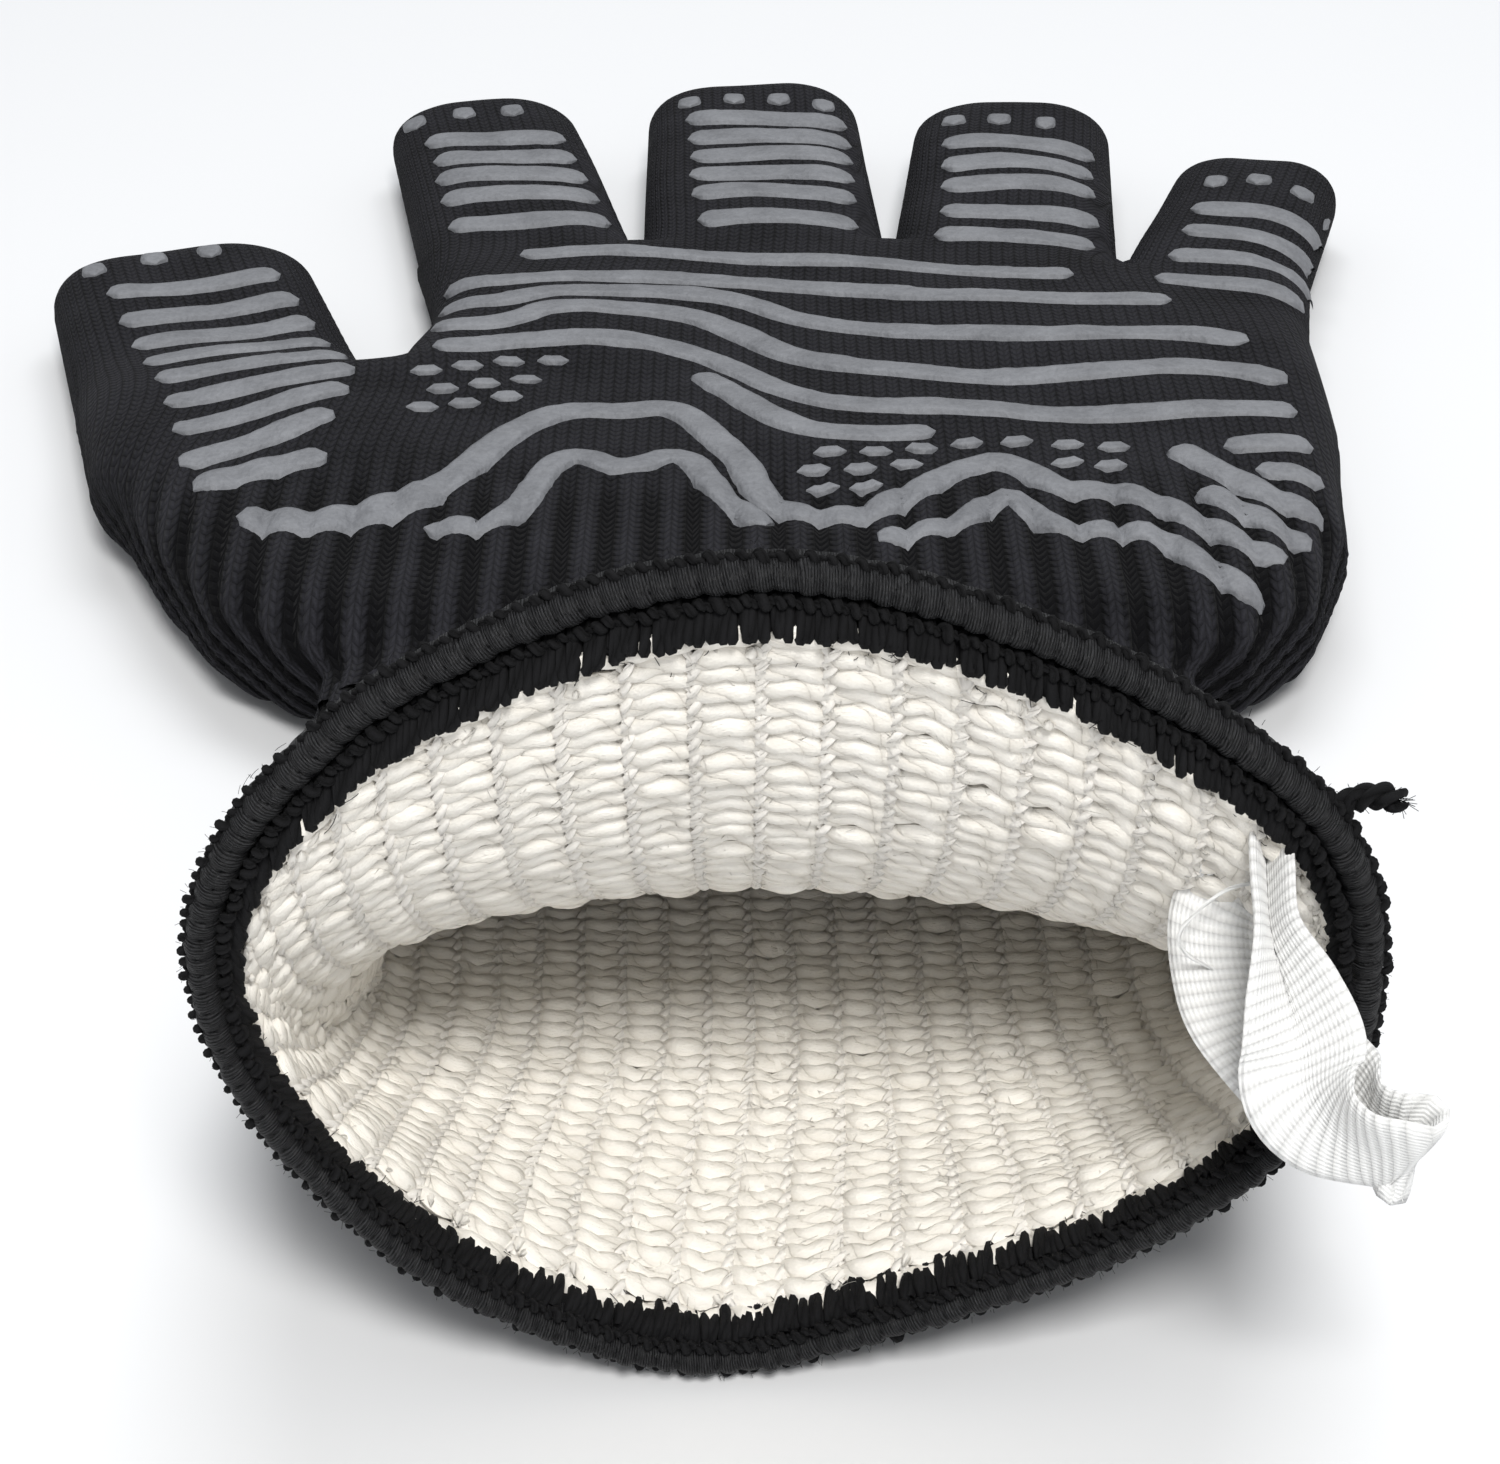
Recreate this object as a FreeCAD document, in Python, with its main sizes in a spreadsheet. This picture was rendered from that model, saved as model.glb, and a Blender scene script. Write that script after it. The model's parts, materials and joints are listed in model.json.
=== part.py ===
"""Heat resistant knit glove, lying palm up with its cuff propped open.

Millimetres, +Z up, +Y along the fingers. The model is drawn with Y = 0 at the cuff's front edge and
Z = 0 under the fingers. At the end each piece is shifted so that the origin is the bottom centre.
Knit pieces are hollow slabs and tubes, split at the lines where the glove folds.
"""

import FreeCAD, Part
import math
import os

from FreeCAD import Placement, Rotation, Vector

# ---------------------------------------------------------------- driving dimensions

DIMENSIONS = {
    # knit plies
    "shell_wall": 1.6,
    "ply_gap": 0.1,
    "liner_wall": 2.0,
    "print_height": 0.8,
    "print_width": 3.6,
    "fold_gap": 0.2,
    "side_gap": 0.3,
    "overrun": 1.0,
    # cuff: four oval sections from the opening to the wrist
    "fore_station": 20.0,
    "aft_station": 46.0,
    "wrist_station": 108.0,
    "ring_half_width": 45.8,
    "fore_half_width": 46.8,
    "aft_half_width": 48.5,
    "wrist_half_width": 47.5,
    "ring_half_height": 36.0,
    "fore_half_height": 18.6,
    "aft_half_height": 12.0,
    "wrist_half_height": 8.0,
    "ring_centre_z": 37.8,
    "fore_centre_z": 20.2,
    "aft_centre_z": 12.8,
    "wrist_centre_z": 8.1,
    "ring_centre_x": 2.8,
    "fore_centre_x": 2.5,
    "aft_centre_x": 2.0,
    "wrist_centre_x": 0.0,
    # edge binding round the opening
    "binding_flange": 0.8,
    "binding_front": -3.0,
    "binding_back": 5.5,
    "bead_front": -2.2,
    "bead_back": -0.4,
    "bead_thickness": 0.95,
    "stitch_length": 2.5,
    "stitch_thickness": 0.55,
    "thread_clearance": 0.12,
    "tail_radius": 1.1,
    "tail_length": 4.0,
    # hand
    "palm_thickness": 16.0,
    "palm_edge": 7.5,
    "finger_thickness": 13.0,
    "finger_edge": 6.0,
    "rib_side_margin": 3.5,
    "rib_end_margin": 2.6,
    "rib_pitch": 5.6,
    "dot_tip_margin": 7.0,
    "dot_length": 7.0,
    "dot_width": 3.0,
    "dot_spacing_share": 0.5,
    "dash_length": 4.6,
    "dash_height": 3.0,
    "dash_pitch": 7.0,
    "heel_left_x": -74.0,
    "heel_left_y": 132.0,
    "heel_right_x": 72.0,
    "heel_right_y": 128.0,
    "palm_right_x": 75.0,
    "palm_right_y": 194.0,
    "heel_radius": 24.0,
    "palm_side_radius": 40.0,
    # hanging loop
    "tape_thickness": 1.0,
    "tape_width": 8.6,
    "loop_length": 33.0,
    "loop_height": 7.2,
}

# Base corners of each finger (left, right, looking along the fingers), its length and its tip radius.
DIGITS = {
    "thumb": {"left": (-85.0, 175.5), "right": (-49.0, 186.0), "length": 47.0, "tip": 13.0},
    "index": {"left": (-47.5, 224.5), "right": (-16.0, 230.5), "length": 62.0, "tip": 12.0},
    "middle": {"left": (-16.0, 230.5), "right": (20.0, 231.5), "length": 65.0, "tip": 13.0},
    "ring": {"left": (20.0, 231.5), "right": (53.2, 228.5), "length": 58.0, "tip": 12.0},
    "little": {"left": (52.2, 222.8), "right": (78.5, 215.0), "length": 45.0, "tip": 10.0},
}

# Printed silicone on the palm: centre lines of the long ribs, from the fingers down.
PALM_RIBS = [
    [(-38, 203), (-15, 206), (15, 202), (46, 200), (58, 197)],
    [(-40, 194), (-22, 197), (-2, 194), (26, 190), (58, 189)],
    [(-40, 181), (-27, 186), (-7, 185), (4, 182), (26, 178), (64, 176)],
    [(-32, 176), (-24, 178), (-7, 177), (2, 172), (8, 168), (25, 166), (65, 164)],
    [(-30, 169), (-18, 170), (-7, 168), (0, 162), (8, 157), (25, 156), (65, 154)],
]
UPPER_RIDGE = [
    (-60, 127), (-44, 128), (-33, 142), (-24, 154), (-10, 154),
    (0, 134), (10, 127), (20, 136), (29, 142), (37, 134), (48, 130), (58, 118),
]
LOWER_RIDGE = [
    (-38, 120), (-29, 122), (-23, 138), (-16, 134), (-9, 138), (0, 122),
    (14, 119), (24, 126), (30, 130), (36, 123), (45, 122), (52, 115),
]
THUMB_MOUND_RIBS = [
    [(-77, 164), (-54, 173)],
    [(-74, 154), (-53, 163)],
    [(-70, 143), (-52, 153)],
]
DASH_ROWS = [
    (-47, 152, 2), (-45, 157.5, 2), (-47, 163, 2), (-45, 168.5, 2),
    (1, 147, 6), (3, 141.5, 2), (36, 141.5, 2),
]
FAN_RIBS = [
    [(50, 146), (63, 128)],
    [(56, 145), (66, 132)],
    [(60, 148), (66, 140)],
]

doc = FreeCAD.newDocument("HeatResistantGlove")
sheet = doc.addObject("Spreadsheet::Sheet", "Sizes")
for row, (alias, value) in enumerate(DIMENSIONS.items(), start=1):
    sheet.set(f"A{row}", alias)
    sheet.set(f"B{row}", str(value))
    sheet.setAlias(f"B{row}", alias)
doc.recompute()

SHELL_INNER = "Sizes.shell_wall"
LINER_OUTER = "(Sizes.shell_wall + Sizes.ply_gap)"
LINER_INNER = "(Sizes.shell_wall + Sizes.ply_gap + Sizes.liner_wall)"
PRINT_OUTER = "(0 - Sizes.print_height)"
FLUSH = "0"

nodes = []


def size(alias):
    """The number held by a cell of the sheet."""
    return float(sheet.get(alias))


def inset_value(expression):
    """The number of millimetres that an inset expression stands for."""
    values = {
        FLUSH: 0.0,
        SHELL_INNER: size("shell_wall"),
        LINER_OUTER: size("shell_wall") + size("ply_gap"),
        LINER_INNER: size("shell_wall") + size("ply_gap") + size("liner_wall"),
        PRINT_OUTER: -size("print_height"),
    }
    return values[expression]


def add_node(feature, label):
    """Registers a finished piece under the name that its file gets."""
    feature.Label = label
    nodes.append(feature)
    return feature


def cut(name, base, tool):
    """Base solid less tool solid."""
    feature = doc.addObject("Part::Cut", name)
    feature.Base = base
    feature.Tool = tool
    return feature


def common(name, base, tool):
    """What two solids share."""
    feature = doc.addObject("Part::Common", name)
    feature.Base = base
    feature.Tool = tool
    return feature


# ---------------------------------------------------------------- oval tubes of the cuff

STATIONS = ["ring", "fore", "aft", "wrist"]


def station_y(name):
    """Distance of a cuff section from the opening."""
    return 0.0 if name == "ring" else size(f"{name}_station")


def along_cuff(quantity, y):
    """Expression for a section's size at distance y, in a straight line between two stations."""
    for first, second in zip(STATIONS, STATIONS[1:]):
        start, end = station_y(first), station_y(second)
        if y <= end or second == STATIONS[-1]:
            share = (y - start) / (end - start)
            return f"(Sizes.{first}_{quantity} * {1 - share:.6f} + Sizes.{second}_{quantity} * {share:.6f})"
    return None


def oval_section(name, y, inset):
    """An upright ellipse across the cuff at distance y, made smaller by inset."""
    section = doc.addObject("Part::Ellipse", name)
    section.setExpression("MajorRadius", f"{along_cuff('half_width', y)} - {inset}")
    section.setExpression("MinorRadius", f"{along_cuff('half_height', y)} - {inset}")
    section.Placement = Placement(Vector(0, y, 0), Rotation(Vector(1, 0, 0), 90))
    section.setExpression("Placement.Base.x", along_cuff("centre_x", y))
    section.setExpression("Placement.Base.z", along_cuff("centre_z", y))
    return section


def oval_solid(name, start, end, inset):
    """A solid through the cuff's sections from start to end."""
    inner = [station_y(s) for s in STATIONS if start < station_y(s) < end]
    loft = doc.addObject("Part::Loft", name)
    loft.Sections = [
        oval_section(f"{name}_section_{i}", y, inset)
        for i, y in enumerate([start, *inner, end])
    ]
    loft.Solid = True
    loft.Ruled = True
    return loft


def oval_tube(name, start, end, outer, inner):
    """A tube between two insets, open at both ends."""
    body = oval_solid(f"{name}_outer", start, end, outer)
    bore = oval_solid(f"{name}_bore", start - size("overrun"), end + size("overrun"), inner)
    return cut(f"{name}_tube", body, bore)


# ---------------------------------------------------------------- slabs drawn in plan


def inset_outline(corners, offsets):
    """Corners of an anticlockwise outline whose edge i moves inwards by offsets[i]."""
    count = len(corners)
    lines = []
    for i in range(count):
        (x0, y0), (x1, y1) = corners[i], corners[(i + 1) % count]
        length = math.hypot(x1 - x0, y1 - y0)
        ux, uy = (x1 - x0) / length, (y1 - y0) / length
        lines.append((x0 - uy * offsets[i], y0 + ux * offsets[i], ux, uy))
    moved = []
    for i in range(count):
        ax, ay, aux, auy = lines[i - 1]
        bx, by, bux, buy = lines[i]
        cross = aux * buy - auy * bux
        travel = ((bx - ax) * buy - (by - ay) * bux) / cross
        moved.append((ax + aux * travel, ay + auy * travel))
    return moved


def rounded_edges(corners, radii):
    """Line and arc edges of an outline with rounded corners, each with a middle point and its side."""
    count = len(corners)
    starts, ends, arcs = [], [], []
    for i in range(count):
        corner = Vector(*corners[i], 0)
        back = (Vector(*corners[i - 1], 0) - corner).normalize()
        ahead = (Vector(*corners[(i + 1) % count], 0) - corner).normalize()
        half = back.getAngle(ahead) / 2
        reach = radii[i] / math.tan(half)
        first, last = corner + back * reach, corner + ahead * reach
        if radii[i] > 0:
            centre = corner + (back + ahead).normalize() * (radii[i] / math.sin(half))
            middle = centre + (corner - centre).normalize() * radii[i]
            arcs.append((first, middle, last))
        else:
            arcs.append(None)
        ends.append(first)
        starts.append(last)
    edges = []
    for i in range(count):
        if arcs[i]:
            edges.append((Part.Arc(*arcs[i]), arcs[i][1], i))
        tail = ends[(i + 1) % count]
        edges.append((Part.LineSegment(starts[i], tail), (starts[i] + tail) * 0.5, i))
    return edges


def plan_slab(name, corners, radii, open_edges, thickness, edge_radius, inset, whole_width=False):
    """A slab with rounded long edges, moved in by inset. Its open edges stay square: they end at the fold
    when whole_width is on, and run past it otherwise, so that a bore cuts right through."""
    shrink = inset_value(inset)
    overrun = 0.0 if whole_width else -size("overrun")
    offsets = [overrun if i in open_edges else shrink for i in range(len(corners))]
    outline = inset_outline(corners, offsets)
    turns = []
    for i, radius in enumerate(radii):
        turns.append(max(radius - shrink, 1.0) if radius > 0 else 0.0)
    edges = rounded_edges(outline, turns)

    body = doc.addObject("PartDesign::Body", name)
    sketch = body.newObject("Sketcher::SketchObject", f"{name}_sketch")
    planes = {feature.Role: feature for feature in body.Origin.OriginFeatures}
    sketch.AttachmentSupport = [(planes["XY_Plane"], "")]
    sketch.MapMode = "FlatFace"
    sketch.setExpression("AttachmentOffset.Base.z", inset)
    for curve, _, _ in edges:
        sketch.addGeometry(curve, False)
    pad = body.newObject("PartDesign::Pad", f"{name}_pad")
    pad.Profile = sketch
    pad.setExpression("Length", f"Sizes.{thickness} - 2 * {inset}")
    doc.recompute()

    # long edges: the horizontal edges that don't belong to an open side
    side_points = [middle for _, middle, i in edges if i not in open_edges]
    for curve, middle, i in edges:
        if isinstance(curve, Part.ArcOfCircle) and turns[i] > 0:
            side_points.append(middle)
    chosen = []
    for number, edge in enumerate(pad.Shape.Edges, start=1):
        low, high = edge.ParameterRange
        middle = edge.valueAt((low + high) / 2)
        level = abs(edge.Vertexes[0].Z - edge.Vertexes[-1].Z) < 1e-4
        near = any(math.hypot(middle.x - p.x, middle.y - p.y) < 0.01 for p in side_points)
        if level and near:
            chosen.append(f"Edge{number}")
    fillet = body.newObject("PartDesign::Fillet", f"{name}_round")
    fillet.Base = (pad, chosen)
    fillet.setExpression("Radius", f"Sizes.{edge_radius} - {inset}")
    body.Tip = fillet
    return body


def knit_piece(name, corners, radii, open_edges, thickness, edge_radius):
    """The outer shell and the liner of one part of the hand, as two hollow solids."""
    spec = (corners, radii, open_edges, thickness, edge_radius)
    outer = plan_slab(f"{name}_skin", *spec, FLUSH, whole_width=True)
    bore = plan_slab(f"{name}_shell_bore", *spec, SHELL_INNER)
    add_node(cut(f"{name}_shell_cut", outer, bore), f"{name}_shell")
    liner = plan_slab(f"{name}_liner_skin", *spec, LINER_OUTER, whole_width=True)
    cavity = plan_slab(f"{name}_liner_bore", *spec, LINER_INNER)
    add_node(cut(f"{name}_liner_cut", liner, cavity), f"{name}_liner")
    return outer


# ---------------------------------------------------------------- printed silicone


def ribbon(points, width):
    """Corners of a band of the given width along a centre line."""
    left, right = [], []
    for i, (x, y) in enumerate(points):
        before = Vector(*points[max(i - 1, 0)], 0)
        here = Vector(x, y, 0)
        after = Vector(*points[min(i + 1, len(points) - 1)], 0)
        heading = (after - here).normalize() if i == 0 else (here - before).normalize()
        leaving = heading if i in (0, len(points) - 1) else (after - here).normalize()
        bend = heading.getAngle(leaving)
        side = (heading + leaving).normalize()
        reach = width / 2 / math.cos(bend / 2)
        left.append((x - side.y * reach, y + side.x * reach))
        right.append((x + side.y * reach, y - side.x * reach))
    return right + left[::-1]


def stencil(name, outlines, base, height):
    """Upright prisms through the printed side: the open areas of the print screen."""
    sketch = doc.addObject("Sketcher::SketchObject", f"{name}_sketch")
    sketch.Placement = Placement(Vector(0, 0, base), Rotation())
    for corners in outlines:
        for curve, _, _ in rounded_edges(corners, [0.0] * len(corners)):
            sketch.addGeometry(curve, False)
    prism = doc.addObject("Part::Extrusion", f"{name}_prisms")
    prism.Base = sketch
    prism.DirMode = "Normal"
    prism.LengthFwd = height
    prism.Solid = True
    return prism


def print_piece(label, film, outlines, thickness):
    """Raised silicone: the print film over the shell, kept only where the stencil is open."""
    half = size(thickness) / 2
    prisms = stencil(label, outlines, half, half + 2 * size("print_height"))
    add_node(common(f"{label}_raised", film, prisms), label)


def print_film(name, skin, corners, radii, open_edges, thickness, edge_radius):
    """The film of print height that lies over a shell's skin."""
    spec = (corners, radii, open_edges, thickness, edge_radius)
    swollen = plan_slab(f"{name}_film_skin", *spec, PRINT_OUTER, whole_width=True)
    return cut(f"{name}_film", swollen, skin)


# ---------------------------------------------------------------- fingers and thumb


class DigitFrame:
    """Maps a digit's own plan, base centre at 0 and +y to its tip, into the glove's plan."""

    def __init__(self, left, right):
        self.centre = ((left[0] + right[0]) / 2, (left[1] + right[1]) / 2)
        self.width = math.hypot(right[0] - left[0], right[1] - left[1])
        self.across = ((right[0] - left[0]) / self.width, (right[1] - left[1]) / self.width)

    def point(self, x, y):
        ux, uy = self.across
        return (self.centre[0] + ux * x - uy * y, self.centre[1] + uy * x + ux * y)

    def box(self, x0, y0, x1, y1):
        return [self.point(x0, y0), self.point(x1, y0), self.point(x1, y1), self.point(x0, y1)]


def digit_ribs(frame, half, start, end, pitch):
    """Cross ribs between two distances along a digit."""
    width = size("print_width")
    count = int((end - start - width) // pitch) + 1
    first = (start + end) / 2 - (count - 1) * pitch / 2
    bands = [first + i * pitch for i in range(count)]
    return [frame.box(-half, y - width / 2, half, y + width / 2) for y in bands]


def build_digit(name, left, right, length, tip):
    """One digit as a base segment and a tip segment, each with shell, liner and print."""
    frame = DigitFrame(left, right)
    half = frame.width / 2 - size("side_gap")
    gap = size("fold_gap")
    knuckle = length / 2
    rib_half = half - size("rib_side_margin")
    rib_margin, rib_pitch = size("rib_end_margin"), size("rib_pitch")
    dot_y = length - size("dot_tip_margin")
    dot_length, dot_width = size("dot_length"), size("dot_width")

    base = frame.box(-half, gap, half, knuckle - gap)
    spec = (base, [0.0] * 4, (0, 2), "finger_thickness", "finger_edge")
    skin = knit_piece(f"{name}_base", *spec)
    film = print_film(f"{name}_base", skin, *spec)
    ribs = digit_ribs(frame, rib_half, rib_margin, knuckle - rib_margin, rib_pitch)
    print_piece(f"{name}_base_grip_ribs", film, ribs, "finger_thickness")

    end = frame.box(-half, knuckle + gap, half, length)
    spec = (end, [0.0, 0.0, tip, tip], (0,), "finger_thickness", "finger_edge")
    skin = knit_piece(f"{name}_tip", *spec)
    film = print_film(f"{name}_tip", skin, *spec)
    last_rib = dot_y - dot_length
    ribs = digit_ribs(frame, rib_half, knuckle + rib_margin, last_rib, rib_pitch)
    dots = []
    for i in (-1, 0, 1):
        x = i * half * size("dot_spacing_share")
        low, high = dot_y - dot_length / 2, dot_y + dot_length / 2
        dots.append(frame.box(x - dot_width / 2, low, x + dot_width / 2, high))
    print_piece(f"{name}_tip_grip_ribs", film, ribs, "finger_thickness")
    print_piece(f"{name}_tip_dots", film, dots, "finger_thickness")


# ---------------------------------------------------------------- palm


def palm_corners():
    """The palm's plan, anticlockwise from the right of the wrist, and which of its edges are open."""
    wrist = size("wrist_station") + size("fold_gap")
    half = size("wrist_half_width")
    thumb, index, middle = DIGITS["thumb"], DIGITS["index"], DIGITS["middle"]
    ring, little = DIGITS["ring"], DIGITS["little"]
    corners = [
        (half, wrist),
        (size("heel_right_x"), size("heel_right_y")),
        (size("palm_right_x"), size("palm_right_y")),
        little["right"],
        little["left"],
        ring["right"],
        ring["left"],
        middle["left"],
        index["left"],
        thumb["right"],
        thumb["left"],
        (size("heel_left_x"), size("heel_left_y")),
        (-half, wrist),
    ]
    open_edges = (3, 5, 6, 7, 9, 12)
    gap = size("fold_gap")
    offsets = [gap if i in open_edges and i != 12 else 0.0 for i in range(len(corners))]
    return inset_outline(corners, offsets), open_edges


def accent_marks():
    """Short plain grip dashes in rows, each row given by its first corner and its count."""
    dash, tall, pitch = size("dash_length"), size("dash_height"), size("dash_pitch")
    marks = []
    for x_start, y, count in DASH_ROWS:
        for i in range(count):
            x = x_start + i * pitch
            marks.append([(x, y), (x + dash, y), (x + dash, y + tall), (x, y + tall)])
    return marks


def build_palm():
    """Palm shell, liner and every printed mark on it."""
    corners, open_edges = palm_corners()
    radii = [0.0] * len(corners)
    radii[1] = radii[11] = size("heel_radius")
    radii[2] = size("palm_side_radius")
    spec = (corners, radii, open_edges, "palm_thickness", "palm_edge")
    skin = knit_piece("palm", *spec)
    film = print_film("palm", skin, *spec)
    width = size("print_width")
    ribs = [ribbon(line, width) for line in PALM_RIBS + THUMB_MOUND_RIBS + FAN_RIBS]
    print_piece("palm_grip_ribs", film, ribs, "palm_thickness")
    print_piece("palm_upper_ridge", film, [ribbon(UPPER_RIDGE, width)], "palm_thickness")
    print_piece("palm_lower_ridge", film, [ribbon(LOWER_RIDGE, width)], "palm_thickness")
    print_piece("palm_grip_dashes", film, accent_marks(), "palm_thickness")


# ---------------------------------------------------------------- cuff

TAIL_ROOT = Vector(46.4, -1.3, 56.6)
TAIL_TILT = 72


def build_cuff():
    """Cuff shell and liner, the bound edge, its bead rows and stitches, and the thread tail."""
    end = size("wrist_station") - size("fold_gap")
    add_node(oval_tube("cuff_shell", 0.0, end, FLUSH, SHELL_INNER), "cuff_shell")
    add_node(oval_tube("cuff_liner", 0.0, end, LINER_OUTER, LINER_INNER), "cuff_liner")

    front, back = size("binding_front"), size("binding_back")
    clear = size("thread_clearance")
    outside = "(0 - Sizes.binding_flange)"
    inside = f"({LINER_INNER} + Sizes.binding_flange)"
    ring = oval_tube("binding", front, back, outside, inside)
    groove_end = back + size("overrun")
    groove = oval_tube("groove", -clear, groove_end, f"(0 - {clear})", f"({LINER_INNER} + {clear})")
    add_node(cut("binding_channel", ring, groove), "edge_binding")

    bead_front, bead_back = size("bead_front"), size("bead_back")
    outer_rim = f"(0 - Sizes.binding_flange - {clear} - Sizes.bead_thickness)"
    outer_seat = f"(0 - Sizes.binding_flange - {clear})"
    add_node(oval_tube("outer_bead", bead_front, bead_back, outer_rim, outer_seat), "outer_bead_row")
    inner_seat = f"({LINER_INNER} + Sizes.binding_flange + {clear})"
    inner_rim = f"({LINER_INNER} + Sizes.binding_flange + {clear} + Sizes.bead_thickness)"
    add_node(oval_tube("inner_bead", bead_front, bead_back, inner_seat, inner_rim), "inner_bead_row")

    seat = f"({LINER_INNER} + {clear})"
    rim = f"({LINER_INNER} + {clear} + Sizes.stitch_thickness)"
    start = back + clear
    stitches = oval_tube("stitches", start, start + size("stitch_length"), seat, rim)
    add_node(stitches, "inner_needle_stitches")

    tail = doc.addObject("Part::Cylinder", "tail")
    tail.setExpression("Radius", "Sizes.tail_radius")
    tail.setExpression("Height", "Sizes.tail_length")
    tail.Placement = Placement(TAIL_ROOT, Rotation(Vector(0, 1, 0), TAIL_TILT))
    add_node(tail, "thread_tail")


# ---------------------------------------------------------------- hanging loop

LOOP_ROOT = Vector(32.0, 6.5, 43.7)
LOOP_TIP = Vector(42.4, -18.0, 30.0)
TACK_CORNER = Vector(32.1, 9.2, 42.0)
TACK_SIZE = (14.0, 3.0, 4.0)


def build_loop():
    """The folded tape and the bar tack that holds it to the liner."""
    along = (LOOP_TIP - LOOP_ROOT).normalize()
    across = Vector(0, 0, 1).cross(along).normalize()
    normal = across.cross(along)
    turn = Rotation(along, normal, across, "XYZ")

    body = doc.addObject("PartDesign::Body", "loop_body")
    sketch = body.newObject("Sketcher::SketchObject", "loop_sketch")
    planes = {feature.Role: feature for feature in body.Origin.OriginFeatures}
    sketch.AttachmentSupport = [(planes["XY_Plane"], "")]
    sketch.MapMode = "FlatFace"
    length, height = size("loop_length"), size("loop_height")
    thick = size("tape_thickness")
    for inset in (0.0, thick):
        radius = height / 2 - inset
        near, far = height / 2, length - height / 2
        low, high = -radius, radius
        sketch.addGeometry(Part.LineSegment(Vector(near, low, 0), Vector(far, low, 0)), False)
        bow = Part.Arc(Vector(far, low, 0), Vector(far + radius, 0, 0), Vector(far, high, 0))
        sketch.addGeometry(bow, False)
        sketch.addGeometry(Part.LineSegment(Vector(far, high, 0), Vector(near, high, 0)), False)
        bow = Part.Arc(Vector(near, high, 0), Vector(near - radius, 0, 0), Vector(near, low, 0))
        sketch.addGeometry(bow, False)
    pad = body.newObject("PartDesign::Pad", "loop_pad")
    pad.Profile = sketch
    pad.setExpression("Length", "Sizes.tape_width")
    pad.Midplane = True
    body.Tip = pad
    body.Placement = Placement(LOOP_ROOT, turn)
    add_node(body, "hanging_loop")

    tack = doc.addObject("Part::Box", "tack_block")
    tack.Length, tack.Width, tack.Height = TACK_SIZE
    tack.Placement = Placement(TACK_CORNER, Rotation())
    room = oval_solid("tack_room", TACK_CORNER.y, TACK_CORNER.y + TACK_SIZE[1], LINER_INNER)
    add_node(common("tack_shape", tack, room), "loop_bar_tack")


# ---------------------------------------------------------------- build, check and write


def check_document():
    """Stops when a feature failed or a piece isn't a sound solid."""
    for feature in doc.Objects:
        if "Invalid" in feature.State or "Error" in feature.State:
            raise RuntimeError(f"{feature.Name} failed: {feature.State}")
    for node in nodes:
        shape = node.Shape
        if shape.isNull() or not shape.isValid() or not shape.Solids:
            raise RuntimeError(f"{node.Label} has no sound solid")


def stand_on_origin():
    """Shifts every piece so that the origin is the bottom centre of the whole glove."""
    whole = FreeCAD.BoundBox()
    for node in nodes:
        whole.add(node.Shape.optimalBoundingBox(False, False))
    shift = Vector(-whole.Center.x, -whole.Center.y, -whole.ZMin)
    for node in nodes:
        node.Placement = Placement(shift, Rotation()) * node.Placement
    return shift


build_cuff()
build_loop()
build_palm()
for digit_name, digit in DIGITS.items():
    build_digit(digit_name, **digit)
doc.recompute()
check_document()
SHIFT = stand_on_origin()
print("shift", [round(v, 3) for v in SHIFT])

os.makedirs("parts", exist_ok=True)
for node in nodes:
    node.Shape.exportStep(os.path.join("parts", f"{node.Label}.step"))
    print(f"{node.Label:26s} {len(node.Shape.Solids):3d} solids {node.Shape.Volume:10.1f} mm3")
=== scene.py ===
"""Looks of the heat resistant knit glove, lying palm up with its cuff propped open.

Drawing numbers are millimetres in the part's own drawing frame: X across, Y from the cuff's front
edge along the fingers, Z up from the floor. to_row() turns them into the row frame's metres.
"""

import json
import math

import bpy
import numpy as np
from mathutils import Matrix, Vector
from mathutils.bvhtree import BVHTree

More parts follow.
